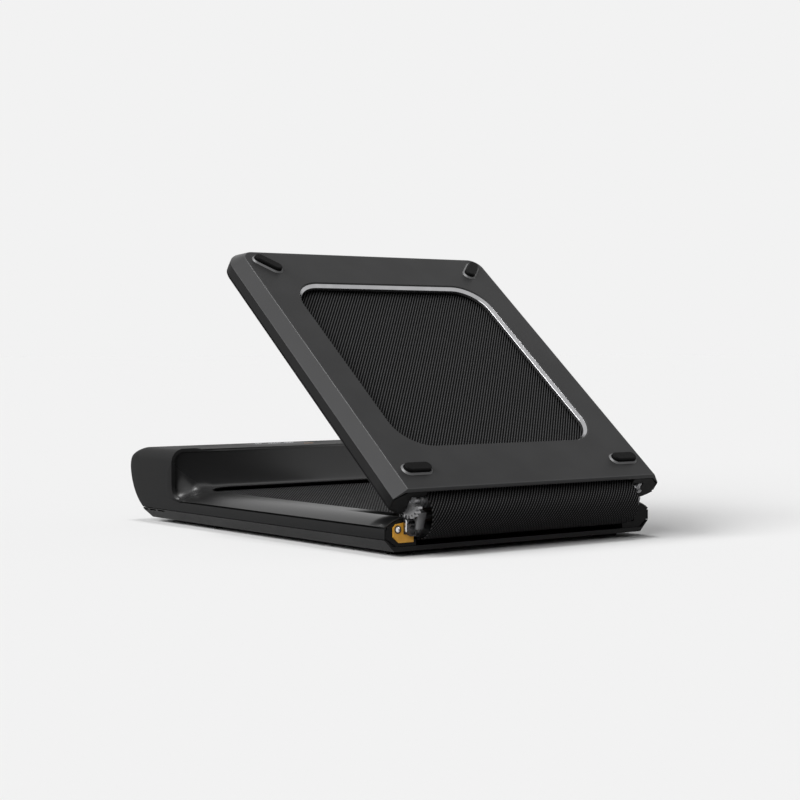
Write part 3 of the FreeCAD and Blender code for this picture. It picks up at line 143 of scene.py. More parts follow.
def grid_mesh(name, grids, outward, marks):
    """Mesh in metres from millimetre grids. A closed mesh is turned right side out by its volume, an
    open sheet by the outward direction. Marks are the name and the point values of an attribute
    that the finish reads."""
    points, faces, first = join_grids(grids)
    mesh = bpy.data.meshes.new(name)
    mesh.from_pydata(points * MILLIMETRE, [], faces)
    if marks is not None:
        layer = mesh.attributes.new(marks[0], "FLOAT_VECTOR", "POINT")
        layer.data.foreach_set("vector", marks[1].reshape(-1, 3)[first].ravel())
    mesh.update()
    shape = bmesh.new()
    shape.from_mesh(mesh)
    loose = [vertex for vertex in shape.verts if not vertex.link_faces]
    bmesh.ops.delete(shape, geom=loose, context="VERTS")
    bmesh.ops.recalc_face_normals(shape, faces=shape.faces)
    if outward is None:
        facing = shape.calc_volume(signed=True)
    else:
        facing = sum(face.calc_area() * face.normal.dot(outward) for face in shape.faces)
    if facing < 0:
        bmesh.ops.reverse_faces(shape, faces=shape.faces)
    shape.to_mesh(mesh)
    shape.free()
    mesh.shade_smooth()
    mesh.set_sharp_from_angle(angle=SHARP_ANGLE)
    return mesh


def add_wall(piece, thick):
    """Solidify: an open sheet gets a wall on its inner side, in millimetres."""
    wall = piece.modifiers.new("wall", "SOLIDIFY")
    wall.thickness = thick * MILLIMETRE
    wall.offset = -1


def round_edges(piece, width):
    """Bevel: edges sharper than the edge angle are rounded over a width in millimetres."""
    rounding = piece.modifiers.new("edge", "BEVEL")
    rounding.width = width * MILLIMETRE
    rounding.segments = 2
    rounding.limit_method = "ANGLE"
    rounding.angle_limit = EDGE_ANGLE


def make_piece(name, grids, finish, body, outward=None, replaces=(), thick=0.0, edge=0.0,
               marks=None):
    """Piece from grids, with its finish, the body it rides on and the nodes it replaces."""
    mesh = grid_mesh(name, grids, outward, marks)
    piece = bpy.data.objects.new(name, mesh)
    scene.collection.objects.link(piece)
    mesh.materials.append(finish)
    if thick:
        add_wall(piece, thick)
    if edge:
        round_edges(piece, edge)
    if body:
        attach(piece, body)
    if replaces:
        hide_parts(*replaces)
    print(name, len(mesh.vertices), "points", len(mesh.polygons), "faces")
    return piece


def unit(vector):
    """The same direction with length one."""
    return vector / np.linalg.norm(vector)


def with_level(points, level):
    """Every point gets one more coordinate, the same for all."""
    return np.column_stack([points, np.full(len(points), level)])


def at_x(x, line):
    """(distance, height) pairs as points at one x."""
    return np.column_stack([np.full(len(line), x), line])


def arc(centre, radius, angle):
    """Points of a circle at the angles, counted from the first axis towards the second."""
    return np.asarray(centre) + radius * np.column_stack([np.cos(angle), np.sin(angle)])


def rounded_line(corners, steps=5, hold=0.4):
    """Line through 2-D corners (u, v, radius). A corner with a radius becomes the arc that touches
    both sides, with one more point just before and after it, so that the flats stay flat."""
    points = [np.array(corners[0][:2], float)]
    for before, corner, after in zip(corners, corners[1:], corners[2:]):
        here = np.array(corner[:2], float)
        back = unit(np.array(before[:2]) - here)
        ahead = unit(np.array(after[:2]) - here)
        radius = corner[2] if len(corner) > 2 else 0
        if not radius:
            points.append(here)
            continue
        half = 0.5 * np.arccos(np.clip(back @ ahead, -1, 1))
        reach = radius / np.tan(half)
        centre = here + unit(back + ahead) * radius / np.sin(half)
        first, last = here + back * reach - centre, here + ahead * reach - centre
        angle = np.pi - 2 * half
        share = np.linspace(0, 1, steps + 1)[:, None]
        swing = (np.sin((1 - share) * angle) * first + np.sin(share * angle) * last) / np.sin(angle)
        points.append(here + back * (reach + hold))
        points.extend(centre + swing)
        points.append(here + ahead * (reach + hold))
    points.append(np.array(corners[-1][:2], float))
    return np.array(points)


# %% [markdown]
# ## Finishes
# Most of the pad is dark moulded plastic, and what makes it look real is small: a fine spark
# grain, gloss that drifts a little, a tint that isn't perfectly even. Each finish below is one
# Principled shader. Values that hold all over are set on the shader itself, and only what varies
# is linked from noise in Object coordinates.

# %% Finish helpers
def start_finish(name, colour, roughness, metallic=0.0, specular=0.5):
    """New material with its plain values on the shader's own sockets."""
    material = bpy.data.materials.new(name)
    material.use_nodes = True
    tree = material.node_tree
    shader = tree.nodes["Principled BSDF"]
    shader.inputs["Base Color"].default_value = (*colour, 1)
    shader.inputs["Roughness"].default_value = roughness
    shader.inputs["Metallic"].default_value = metallic
    shader.inputs["Specular IOR Level"].default_value = specular
    return material, tree, shader


def noise(tree, scale, detail=2.0, stretch=(1, 1, 1), where="Object"):
    """Noise value of the point, with its own scale along each axis."""
    source = tree.nodes.new("ShaderNodeTexCoord")
    mapping = tree.nodes.new("ShaderNodeMapping")
    mapping.inputs["Scale"].default_value = stretch
    texture = tree.nodes.new("ShaderNodeTexNoise")
    texture.inputs["Scale"].default_value = scale
    texture.inputs["Detail"].default_value = detail
    tree.links.new(source.outputs[where], mapping.inputs["Vector"])
    tree.links.new(mapping.outputs["Vector"], texture.inputs["Vector"])
    return texture.outputs["Fac"]


def ramp_colour(tree, shader, value, dark, light, low=0.35, high=0.65):
    """Base colour that drifts between two tints with the value."""
    ramp = tree.nodes.new("ShaderNodeValToRGB")
    ramp.color_ramp.elements[0].position = low
    ramp.color_ramp.elements[1].position = high
    ramp.color_ramp.elements[0].color = (*dark, 1)
    ramp.color_ramp.elements[1].color = (*light, 1)
    tree.links.new(value, ramp.inputs["Fac"])
    tree.links.new(ramp.outputs["Color"], shader.inputs["Base Color"])


def drift_gloss(tree, shader, value, low, high):
    """Roughness that moves between two values."""
    spread = tree.nodes.new("ShaderNodeMapRange")
    spread.inputs["From Min"].default_value = 0.3
    spread.inputs["From Max"].default_value = 0.7
    spread.inputs["To Min"].default_value = low
    spread.inputs["To Max"].default_value = high
    tree.links.new(value, spread.inputs["Value"])
    tree.links.new(spread.outputs["Result"], shader.inputs["Roughness"])


def raise_grain(tree, shader, value, height, strength=0.5):
    """Bump from the value, in metres of height."""
    bump = tree.nodes.new("ShaderNodeBump")
    bump.inputs["Strength"].default_value = strength
    bump.inputs["Distance"].default_value = height
    tree.links.new(value, bump.inputs["Height"])
    tree.links.new(bump.outputs["Normal"], shader.inputs["Normal"])


def grey(level):
    """Grey tint, a trace cooler than neutral."""
    return (level, level, level * 1.02)


def moulded(name, level, roughness, specular, grain=2600.0):
    """Spark-grained plastic: fine bump, slow drift of tint and gloss."""
    material, tree, shader = start_finish(name, grey(level), roughness, specular=specular)
    slow = noise(tree, 14, 3)
    ramp_colour(tree, shader, slow, grey(level * 0.9), grey(level * 1.1))
    drift_gloss(tree, shader, slow, roughness - 0.03, roughness + 0.04)
    raise_grain(tree, shader, noise(tree, grain, 2), 0.00006, 0.35)
    return material


def rubbery(name, level, roughness=0.7, specular=0.3):
    """Soft rubber: matt, with a fine dusty mottling."""
    material, tree, shader = start_finish(name, grey(level), roughness, specular=specular)
    fine = noise(tree, 420, 4)
    ramp_colour(tree, shader, fine, grey(level * 0.75), grey(level * 1.3))
    drift_gloss(tree, shader, fine, roughness - 0.08, roughness + 0.08)
    raise_grain(tree, shader, fine, 0.0001, 0.4)
    return material


def machined(name, level, roughness, stretch, scale=900.0):
    """Metal with tool lines: noise drawn out along the way the tool went."""
    material, tree, shader = start_finish(name, grey(level), roughness, metallic=1.0)
    lines = noise(tree, scale, 3, stretch)
    ramp_colour(tree, shader, lines, grey(level * 0.8), grey(level * 1.1))
    drift_gloss(tree, shader, lines, roughness - 0.08, roughness + 0.1)
    raise_grain(tree, shader, lines, 0.00004, 0.3)
    return material


def cast_metal(name, level, roughness):
    """Blasted casting: metal with a coarse pebbled skin."""
    material, tree, shader = start_finish(name, grey(level), roughness, metallic=1.0)
    pebbles = noise(tree, 900, 4)
    ramp_colour(tree, shader, noise(tree, 60, 3), grey(level * 0.75), grey(level * 1.1))
    drift_gloss(tree, shader, pebbles, roughness - 0.1, roughness + 0.1)
    raise_grain(tree, shader, pebbles, 0.00012, 0.35)
    return material


def plated(name, level, roughness):
    """Plated trim: even metal with slow, faint changes of tint and gloss."""
    material, tree, shader = start_finish(name, grey(level), roughness, metallic=1.0)
    slow = noise(tree, 40, 2)
    ramp_colour(tree, shader, slow, grey(level * 0.92), grey(level * 1.05))
    drift_gloss(tree, shader, slow, roughness - 0.04, roughness + 0.04)
    raise_grain(tree, shader, noise(tree, 1200, 2), 0.00001, 0.15)
    return material


def coated(name, colour, roughness):
    """Powder coat: orange-peel bump over a plain colour."""
    material, tree, shader = start_finish(name, colour, roughness)
    peel = noise(tree, 700, 2)
    dark = tuple(0.85 * value for value in colour)
    light = tuple(1.12 * value for value in colour)
    ramp_colour(tree, shader, noise(tree, 30, 3), dark, light)
    raise_grain(tree, shader, peel, 0.0002, 0.4)
    return material


# %% Finishes of this pad
shell_finish = moulded("satin_shell", 0.0095, 0.56, 0.1)
foot_rim_finish = moulded("foot_rim_grey", 0.11, 0.36, 0.5)
front_pan_finish = moulded("front_pan_grain", 0.008, 0.46, 0.14)
switch_finish = moulded("switch_black", 0.015, 0.35, 0.5)
sole_finish = rubbery("sole_rubber", 0.002, 0.5, 0.06)
wheel_finish = rubbery("wheel_rubber", 0.03, 0.6)
drive_finish = rubbery("drive_belt_rubber", 0.012, 0.55)
rim_finish = plated("bright_trim", 0.46, 0.18)
steel_finish = machined("machined_steel", 0.34, 0.48, (0.04, 1, 1))
roller_finish = machined("turned_roller", 0.4, 0.42, (8, 1, 1), 200.0)
alloy_finish = cast_metal("blasted_alloy", 0.2, 0.5)
frame_finish = coated("frame_coat", (0.03, 0.03, 0.032), 0.5)
black_finish = coated("blackened_steel", (0.006, 0.006, 0.007), 0.5)
bolt_finish = plated("polished_bolt", 0.75, 0.22)
case_finish = coated("drive_case_coat", (0.09, 0.095, 0.1), 0.45)


def painted_light_plastic(name, level, roughness, specular, painted_tint, gloss):
    """Grained plastic that the piece's own attribute takes towards a lighter tint and another
    gloss. The lighter tint is painted light: a painted highlight on edges and on faces that the lamps catch."""
    material, tree, shader = start_finish(name, grey(level), roughness, specular=specular)
    slow = noise(tree, 14, 3)
    ramp_colour(tree, shader, slow, grey(level * 0.9), grey(level * 1.15))
    painted_share = tree.nodes.new("ShaderNodeAttribute")
    painted_share.attribute_name = "polish"
    spread = tree.nodes.new("ShaderNodeMapRange")
    spread.inputs["To Min"].default_value = roughness
    spread.inputs["To Max"].default_value = gloss
    tree.links.new(painted_share.outputs["Fac"], spread.inputs["Value"])
    tree.links.new(spread.outputs["Result"], shader.inputs["Roughness"])
    # Painted light: the attribute takes the base colour towards a lighter grey.
    blend = tree.nodes.new("ShaderNodeMix")
    blend.data_type = "RGBA"
    blend.inputs["B"].default_value = (*grey(painted_tint), 1)
    tree.links.new(painted_share.outputs["Fac"], blend.inputs["Factor"])
    tree.links.new(shader.inputs["Base Color"].links[0].from_socket, blend.inputs["A"])
    tree.links.new(blend.outputs["Result"], shader.inputs["Base Color"])
    raise_grain(tree, shader, noise(tree, 2600, 2), 0.00006, 0.2)
    return material


def guard_orange():
    """Orange safety plastic: warm, a little glossy, faintly mottled."""
    material, tree, shader = start_finish("guard_orange", (0.9, 0.44, 0.04), 0.38)
    ramp_colour(tree, shader, noise(tree, 120, 3), (0.84, 0.4, 0.034), (0.96, 0.48, 0.05))
    raise_grain(tree, shader, noise(tree, 1800, 2), 0.00005, 0.4)
    return material


def coated_board():
    """Running board: fibre board with a dark waxed face, speckled with fibres."""
    material, tree, shader = start_finish("waxed_board", (0.06, 0.045, 0.035), 0.5)
    fibres = noise(tree, 300, 5, (1, 0.15, 1))
    ramp_colour(tree, shader, fibres, (0.045, 0.034, 0.026), (0.085, 0.064, 0.048))
    drift_gloss(tree, shader, fibres, 0.42, 0.6)
    raise_grain(tree, shader, fibres, 0.00008, 0.4)
    return material


def smoked_window():
    """Display window: smoked black with the faintest haze of fingerprints."""
    material, tree, shader = start_finish("smoked_window", (0.004, 0.004, 0.005), 0.4, specular=0.1)
    drift_gloss(tree, shader, noise(tree, 26, 4), 0.38, 0.48)
    raise_grain(tree, shader, noise(tree, 900, 1), 0.00001, 0.2)
    return material


def belt_skin():
    """Belt: black rubber pressed into diamonds. The piece's own pattern attribute counts diamonds in
    two slanting directions. Grooves are where either count is near a whole number: painted shade
    there, and a grey on the crests that is partly wear, partly painted light."""
    material, tree, shader = start_finish("belt_skin", grey(0.03), 0.65, specular=0.02)
    source = tree.nodes.new("ShaderNodeAttribute")
    source.attribute_name = "pattern"
    counts = tree.nodes.new("ShaderNodeSeparateXYZ")
    tree.links.new(source.outputs["Vector"], counts.inputs["Vector"])
    crest = None
    for axis, weight in (("X", 1.0), ("Y", 0.45)):
        fold = tree.nodes.new("ShaderNodeMath")
        fold.operation = "PINGPONG"
        fold.inputs[1].default_value = 0.5
        tree.links.new(counts.outputs[axis], fold.inputs[0])
        rise = tree.nodes.new("ShaderNodeMapRange")
        rise.interpolation_type = "SMOOTHSTEP"
        rise.inputs["From Min"].default_value = 0.15
        rise.inputs["From Max"].default_value = 0.4
        rise.inputs["To Min"].default_value = 1 - weight
        tree.links.new(fold.outputs["Value"], rise.inputs["Value"])
        if crest is None:
            crest = rise.outputs["Result"]
            continue
        both = tree.nodes.new("ShaderNodeMath")
        both.operation = "MULTIPLY"
        tree.links.new(crest, both.inputs[0])
        tree.links.new(rise.outputs["Result"], both.inputs[1])
        crest = both.outputs["Value"]
    # Painted shade in the grooves, and a lighter grey on the crests: partly wear, partly painted light.
    ramp_colour(tree, shader, crest, grey(0.0005), grey(0.095), 0.2, 0.95)
    drift_gloss(tree, shader, noise(tree, 90, 4), 0.55, 0.7)
    raise_grain(tree, shader, crest, 0.0007, 0.9)
    return material


# Both finishes carry painted light in their lighter tint, where the piece's attribute asks for it.
pan_finish = painted_light_plastic("grained_pan", 0.02, 0.46, 0.17, 0.075, 0.2)
inner_finish = painted_light_plastic("inner_plastic", 0.006, 0.32, 0.45, 0.03, 0.24)
guard_finish = guard_orange()
board_finish = coated_board()
window_finish = smoked_window()
belt_finish = belt_skin()

finish_of_slot = {
    "shell_plastic": shell_finish, "pan_plastic": front_pan_finish, "rim_plastic": rim_finish,
    "switch_plastic": switch_finish, "rubber_pad": sole_finish, "wheel_rubber": wheel_finish,
    "drive_belt": drive_finish, "bright_steel": steel_finish, "roller_steel": roller_finish,
    "cast_alloy": alloy_finish, "frame_steel": frame_finish, "drive_case": case_finish,
    "orange_plastic": guard_finish, "deck_board": board_finish, "display_gloss": window_finish,
    "running_belt": belt_finish,
}
for subpart in frame["record"]["subparts"]:
    node = nodes[subpart["node"]]
    node.data.materials.clear()
    node.data.materials.append(finish_of_slot[subpart["material_slot"]])
nodes["front_hinge_leaves"].data.materials[0] = black_finish
print("finishes:", len(finish_of_slot))

# %% [markdown]
# ## Sizes of the mouldings
# A few lengths, in millimetres, give all the covers: how wide a half is, the levels of its
# sloping edge, skirt and rail, and how far each half reaches from its hinge.

# %% Sizes
HALF_WIDTH = 270.0
RAIL_INNER = 211.5
POCKET_EDGE = 237.5
POCKET_END = 36.0
NEAR_END = -5.0
PAN_LOW = 8.0
BEVEL = 18.0
SEAM_LEVEL = 26.0
SKIRT_LOW = 27.1
SKIRT_TOP = 42.4
CROWN_LOW = 45.4
RAIL_TOP = 60.0
CROWN_WIDTH = 45.0
WALL = 2.5

# %% [markdown]
# ## The rear pan
# In the photograph this is the large tilted tray with the belt window. It is one moulding: the
# window wall turns over a soft rim into the flat face, and the face turns over a soft edge into
# the sloping border. So the surface is a stack of closed outlines. The inner ones follow the
# window, the outer ones follow the edge, and all have the same number of points.

# %% Rear pan
REAR_END = 591.0
FAR_ROUND = 40.0
WINDOW_HALF = 200.0
WINDOW_NEAR = 86.0
WINDOW_FAR = 493.0
WINDOW_ROUND = 58.0
WINDOW_DEEP = 19.0
LIP_LEVEL = 15.0
LIP_HALF = 253.0
HINGE_ROUND = 2.0
NEAR_ROUND = 1.0
LEAST_ROUND = 2.0
SEAM_EDGE = SEAM_LEVEL + 0.3
END_SHARE = 0.008
# Shares of painted light on the pan: the edge's painted highlight, then the slope's painted light.
EDGE_PAINTED_HIGHLIGHT = 0.8
SLOPE_PAINTED_LIGHT = 0.42


def outline(half_x, near, far, near_round, far_round, steps=10):
    """Closed plan outline, (x, distance): four quarter circles joined by straight sides. Every
    side carries two more points close to its ends."""
    turn = np.linspace(0, np.pi / 2, steps + 1)
    parts = []
    for number, (side, end, radius) in enumerate(((1, near, near_round), (1, far, far_round),
                                                  (-1, far, far_round), (-1, near, near_round))):
        inward = radius if end == near else -radius
        centre = np.array([side * (half_x - radius), end + inward])
        angle = turn + (number - 1) * np.pi / 2
        parts.append(arc(centre, radius, angle))
    loop = []
    share = np.array([END_SHARE, 1 - END_SHARE])[:, None]
    for here, after in zip(parts, parts[1:] + parts[:1]):
        loop.append(here)
        loop.append(here[-1] * (1 - share) + after[0] * share)
    return np.concatenate(loop)


def window_row(inset, level):
    """Outline of the belt window, moved into the opening by inset."""
    plan = outline(WINDOW_HALF - inset, WINDOW_NEAR + inset, WINDOW_FAR - inset,
                   WINDOW_ROUND - inset, WINDOW_ROUND - inset)
    return with_level(plan, level)


def edge_row(inset, level, lip=0.0):
    """Outline of the pan, moved inwards by inset. The hinge end is a low lip: it keeps its place,
    rounds over below, and stays under the lip level."""
    near_fall = max(0.0, PAN_LOW + HINGE_ROUND - level)
    near_inset = HINGE_ROUND - np.sqrt(HINGE_ROUND ** 2 - near_fall ** 2) + lip
    corner = max(FAR_ROUND - inset, LEAST_ROUND)
    plan = outline(HALF_WIDTH - inset, NEAR_END + near_inset, REAR_END - inset, NEAR_ROUND, corner)
    levels = np.full(len(plan), level)
    levels[-2:] = min(level, LIP_LEVEL)
    plan[-2:, 0] = np.clip(plan[-2:, 0], -LIP_HALF, LIP_HALF)
    return np.column_stack([plan, levels])


# Lines of (inset, level): the window's rim, the sloping border, and the trim that lies on the rim.
rim_line = rounded_line([(6.2, WINDOW_DEEP), (5.8, 15.2), (0.2, 8.9, 1.0), (-1.0, PAN_LOW),
                         (-12, PAN_LOW)], 3, 0.2)
border_line = rounded_line([(30, PAN_LOW), (BEVEL, PAN_LOW, 3.0), (0, SEAM_LEVEL, 1.5),
                            (0, SEAM_EDGE)], 5, 0.2)
trim_line = rounded_line([(-1.0, 11.0), (1.2, 9.95, 0.15), (5.9, 14.3, 0.9), (6.1, 16.4, 0.3),
                          (4.4, 16.4), (-1.0, 11.0)], 3, 0.1)
rows = [window_row(inset, level) for inset, level in rim_line]
rows += [edge_row(inset, level) for inset, level in border_line]
rows += [edge_row(WALL, SEAM_EDGE, WALL), edge_row(BEVEL + 1, PAN_LOW + WALL, WALL)]
rows += [window_row(-3, PAN_LOW + WALL), window_row(-3, WINDOW_DEEP), window_row(5, WINDOW_DEEP)]
pan_grid = place_rear(np.array(rows))
# The edge between face and slope gets the most painted light, a painted highlight, and the slope after it less,
# painted light on the face the lamps fall on.
border_painted_light = np.zeros(len(border_line))
border_painted_light[2:7] = EDGE_PAINTED_HIGHLIGHT
border_painted_light[7:14] = SLOPE_PAINTED_LIGHT
pan_painted_light = np.zeros(pan_grid.shape)
pan_painted_light[len(rim_line):len(rim_line) + len(border_line)] = border_painted_light[:, None, None]
make_piece("rear_pan_moulding", [closed(pan_grid)], pan_finish, "rear",
           replaces=["rear_pan"], marks=("polish", pan_painted_light))
trim = np.array([window_row(inset, level) for inset, level in trim_line])
make_piece("window_trim", [closed(place_rear(trim))], rim_finish, "rear")

# %% [markdown]
# ## The rear rails
# One U-shaped moulding runs up the left side, round the far end and back down the right side. Its
# profile is an upright skirt, a thin shadow groove and a rounded crown. At every place along the
# U the profile is stretched between an outer and an inner path, so that it gets narrower at the
# far end without a seam.

# %% Rear rails
REAR_INNER_END = 567.0
REAR_INNER_ROUND = 4.0
GROOVE_DEPTH = 2.2
SIDE_STATIONS = (NEAR_END, POCKET_END, 300.0, 545.0)


def crown(distance):
    """Height of the crown at a distance from the skirt: a circle that ends level at its top."""
    rise = RAIL_TOP - CROWN_LOW
    radius = (CROWN_WIDTH ** 2 + rise ** 2) / (2 * rise)
    return RAIL_TOP - radius + np.sqrt(radius ** 2 - np.minimum(distance - CROWN_WIDTH, 0) ** 2)


def u_path(half_x, end, radius, steps=12):
    """(x, distance) from the hinge end up the left side, across, and back down the right side."""
    turn = np.linspace(np.pi, np.pi / 2, steps + 1)
    corner = arc((-half_x + radius, end - radius), radius, turn)
    side = np.column_stack([np.full(len(SIDE_STATIONS), -half_x), SIDE_STATIONS])
    left = np.concatenate([side, corner])
    return np.concatenate([left, left[::-1] * [-1, 1]])


rail_width = HALF_WIDTH - RAIL_INNER
pocket_share = HALF_WIDTH - POCKET_EDGE
across = np.array([0.3, 0.7, 1.4, 2.6, 5, 10, 16, 22, 28, pocket_share, 38, CROWN_WIDTH, 50, 56.6])
profile = np.concatenate([
    rounded_line([(1.4, SKIRT_LOW), (0, SKIRT_LOW, 0.6), (0, SKIRT_TOP, 0.8),
                  (GROOVE_DEPTH, SKIRT_TOP)], 4, 0.3),
    [(GROOVE_DEPTH, CROWN_LOW - 0.1), (0.6, CROWN_LOW - 0.1)],
    np.column_stack([across, crown(across)]),
    rounded_line([(57.0, RAIL_TOP), (rail_width, RAIL_TOP, 1.2), (rail_width, RAIL_TOP - 5)], 4, 0.1)[1:],
])
outer_path = u_path(HALF_WIDTH, REAR_END, FAR_ROUND)
inner_path = u_path(RAIL_INNER, REAR_INNER_END, REAR_INNER_ROUND)
rail_share = (profile[:, 0] / rail_width)[:, None, None]
rail_plan = outer_path * (1 - rail_share) + inner_path * rail_share
height = np.broadcast_to(profile[:, 1][:, None, None], rail_plan.shape[:2] + (1,))
rail_grid = place_rear(np.concatenate([rail_plan, height], axis=-1))
# The hinge sits in a pocket at both ends of the U, so the rail is left open there.
rail_keep = np.ones((len(profile) - 1, len(outer_path) - 1), bool)
in_pocket = profile[1:, 0] > pocket_share + 0.01
rail_keep[in_pocket, 0] = False
rail_keep[in_pocket, -1] = False
up_rear = (0, np.sin(OPENING), -np.cos(OPENING))
make_piece("rear_rail_moulding", [(rail_grid, False, rail_keep)], shell_finish, "rear",
           outward=up_rear, thick=2.0,
           replaces=["rear_skirt", "rear_end_cover", "rear_foot_rail_left", "rear_foot_rail_right"])

# %% [markdown]
# ## The hood shell
# The hood's top, nose and sides and the side skirts are one skin in the photograph. Seen from the
# side, the top line runs into two arcs that meet smoothly. Along both sides that profile is
# rounded over: each point moves inwards along the profile's normal by R(1 - cos a) while it moves
# outwards by R sin a. What is left of each side is flat.

# %% Hood profile
HOOD_BACK = 604.0
HOOD_TOP = 131.0
HOOD_FRONT = 752.0
NOSE_ROUND = 34.5
NOSE_SEAM = 710.0
TOP_ROUND = 22.0
FRONT_ROUND = 4.0
FILLET = 30.0
TOP_END = 716.0
NOSE_LEAN = -8
# Openings: x from and to, then from and to along the top (display) or up the nose (inlet).
DISPLAY = (-64.3, 64.3, 649.7, 706.3)
INLET = (-1.8, 57.8, 71.7, 101.3)
lean_angle = np.radians(NOSE_LEAN)
lean = np.array([np.cos(lean_angle), np.sin(lean_angle)])
nose_centre = np.array([HOOD_FRONT - NOSE_ROUND, HOOD_TOP - NOSE_ROUND])
meeting = nose_centre + lean * NOSE_ROUND
away = np.array([NOSE_SEAM, SKIRT_LOW]) - meeting
under_round = away @ away / (-2 * away @ lean)
under_centre = meeting - lean * under_round
toe_angle = np.arctan2(SKIRT_LOW - under_centre[1], NOSE_SEAM - under_centre[0])
top_line = with_level([HOOD_BACK, HOOD_BACK + 1, DISPLAY[2], DISPLAY[3], TOP_END], HOOD_TOP)
inlet_top = np.arcsin((INLET[3] - nose_centre[1]) / NOSE_ROUND)
inlet_bottom = np.arcsin((INLET[2] - under_centre[1]) / under_round)
nose_angle = np.sort(np.append(np.linspace(np.pi / 2, lean_angle, 19), inlet_top))[::-1]
under_angle = np.sort(np.append(np.linspace(lean_angle, toe_angle, 15)[1:], inlet_bottom))[::-1]
nose_line = arc(nose_centre, NOSE_ROUND, nose_angle)
nose_normal = arc((0, 0), 1, nose_angle)
under_line = arc(under_centre, under_round, under_angle)
under_normal = arc((0, 0), 1, under_angle)
toe_normal = under_normal[-1]
heel_line = under_line[-1] + np.linspace(1, 6, 4)[:, None] * np.array([toe_normal[1], -toe_normal[0]])
hood_line = np.concatenate([top_line, nose_line, under_line, heel_line])
hood_normal = np.concatenate([np.tile([0.0, 1.0], (len(top_line), 1)), nose_normal, under_normal,
                              np.tile(toe_normal, (len(heel_line), 1))])

# %% Hood shell
FADE_END = np.radians(25)
FADE_SPAN = np.radians(60)
EDGE_COLUMNS = 9
DISPLAY_ROW = 2
BACK_MIDDLE = 92.0
SIDE_HUB = np.array([662.0, 56.0])
rows_top, rows_nose, rows_under, rows_heel = map(len, (top_line, nose_line, under_line, heel_line))
fade = np.clip((nose_angle - FADE_END) / FADE_SPAN, 0, 1)
fade = fade * fade * (3 - 2 * fade)
side_round = np.concatenate([np.full(rows_top, TOP_ROUND), FRONT_ROUND + (TOP_ROUND - FRONT_ROUND) * fade,
                             np.full(rows_under + rows_heel, FRONT_ROUND)])[:, None]
edge_turn = np.linspace(np.pi / 2, 0, EDGE_COLUMNS)
edge_x = -(HALF_WIDTH - side_round + side_round * np.sin(edge_turn))
edge_drop = side_round * (1 - np.cos(edge_turn))
middle_x = np.broadcast_to([DISPLAY[0], INLET[0], INLET[1], DISPLAY[1]], (len(hood_line), 4))
cap_x = np.concatenate([edge_x, middle_x, -edge_x[:, ::-1]], axis=1)
cap_drop = np.concatenate([edge_drop, np.zeros(middle_x.shape), edge_drop[:, ::-1]], axis=1)
cap_plan = hood_line[:, None, :] - hood_normal[:, None, :] * cap_drop[..., None]
cap = np.concatenate([cap_x[..., None], cap_plan], axis=-1)
cap[..., 2] = np.maximum(cap[..., 2], SKIRT_LOW)
# Cells that lie wholly at the skirt's foot are left out, and so are the display and inlet openings.
at_foot = cap[..., 2] <= SKIRT_LOW + 1e-6
hood_keep = ~(at_foot[:-1, :-1] & at_foot[1:, :-1] & at_foot[:-1, 1:] & at_foot[1:, 1:])
hood_keep[DISPLAY_ROW, EDGE_COLUMNS:EDGE_COLUMNS + 3] = False
first_row = rows_top + int(np.argmin(np.abs(nose_angle - inlet_top)))
last_row = rows_top + rows_nose + int(np.argmin(np.abs(under_angle - inlet_bottom)))
hood_keep[first_row:last_row, EDGE_COLUMNS + 1] = False

# Each flat side is drawn in from its border to a hub, and a plain skirt runs from it to the hinge.
inset_line = cap[:, 0, 1:]
gusset_centre = np.array([HOOD_BACK - FILLET, SKIRT_TOP + FILLET])
gusset_angle = np.linspace(-np.pi / 2, 0, 13)
gusset_line = arc(gusset_centre, FILLET, gusset_angle)
sill_line = with_level(np.linspace(inset_line[-1, 0], HOOD_BACK - FILLET, 6)[1:], SKIRT_LOW)
border = np.concatenate([inset_line, sill_line, gusset_line, [[HOOD_BACK, BACK_MIDDLE]]])
hub_share = np.linspace(0, 1, 4)[:, None, None]
side_plan = border * (1 - hub_share) + SIDE_HUB * hub_share
skirt_along = [NEAR_END, 120, 300, 480, HOOD_BACK - FILLET]
skirt_plan = np.stack([with_level(skirt_along, level) for level in (SKIRT_LOW, SKIRT_TOP)])
shell_grids = [(place_front(cap), False, hood_keep)]
for side in (-HALF_WIDTH, HALF_WIDTH):
    for sheet, wrap in ((side_plan, True), (skirt_plan, False)):
        flat = np.concatenate([np.full(sheet.shape[:2] + (1,), side), sheet], axis=-1)
        shell_grids.append((place_front(flat), wrap, None))
make_piece("hood_moulding", shell_grids, shell_finish, "front",
           outward=(0, 0.3, 1), thick=2.2, edge=0.5,
           replaces=["hood_shell", "front_skirt_left", "front_skirt_right"])

# %% [markdown]
# ## The rails and the dish
# Inside that shell sits a second moulding: both foot rails and, behind the hood, the hollow dish
# that joins them. It is easiest as a skin stretched between two edges. The outer edge follows the
# shadow gap along the skirt, up the hood's back corner and across its top. The inner edge follows
# the belt. Each cross-section is a cubic curve that leaves both edges in a given direction, and
# the directions change smoothly on the way from rail to dish.

# %% Rails and dish
GAP = 0.7
LIP_BACK = 586.0
LIP_TOP = 64.8
LIP_ROUND = 28.0
LIP_START = 540.0
LIFT_START = 570.0
RAIL_STOP = 545.0
UPRIGHT_LOW = 80.0
UPRIGHT_HIGH = 103.0
TOP_INNER = -240.0
SOFT_WIDTH = 40.0
OUTER_PULL = 22.0
INNER_PULL = 24.0


def glide(at, keys, values, width=70.0):
    """Values at the keys, joined by straight lines, then averaged over a width along the way."""
    values = np.array(values, float)
    offsets = np.linspace(-0.5, 0.5, 41)[:, None] * width
    near = np.clip(at[None, :] + offsets, keys[0], keys[-1])
    return np.stack([np.interp(near, keys, column).mean(axis=0) for column in values.T], axis=-1)


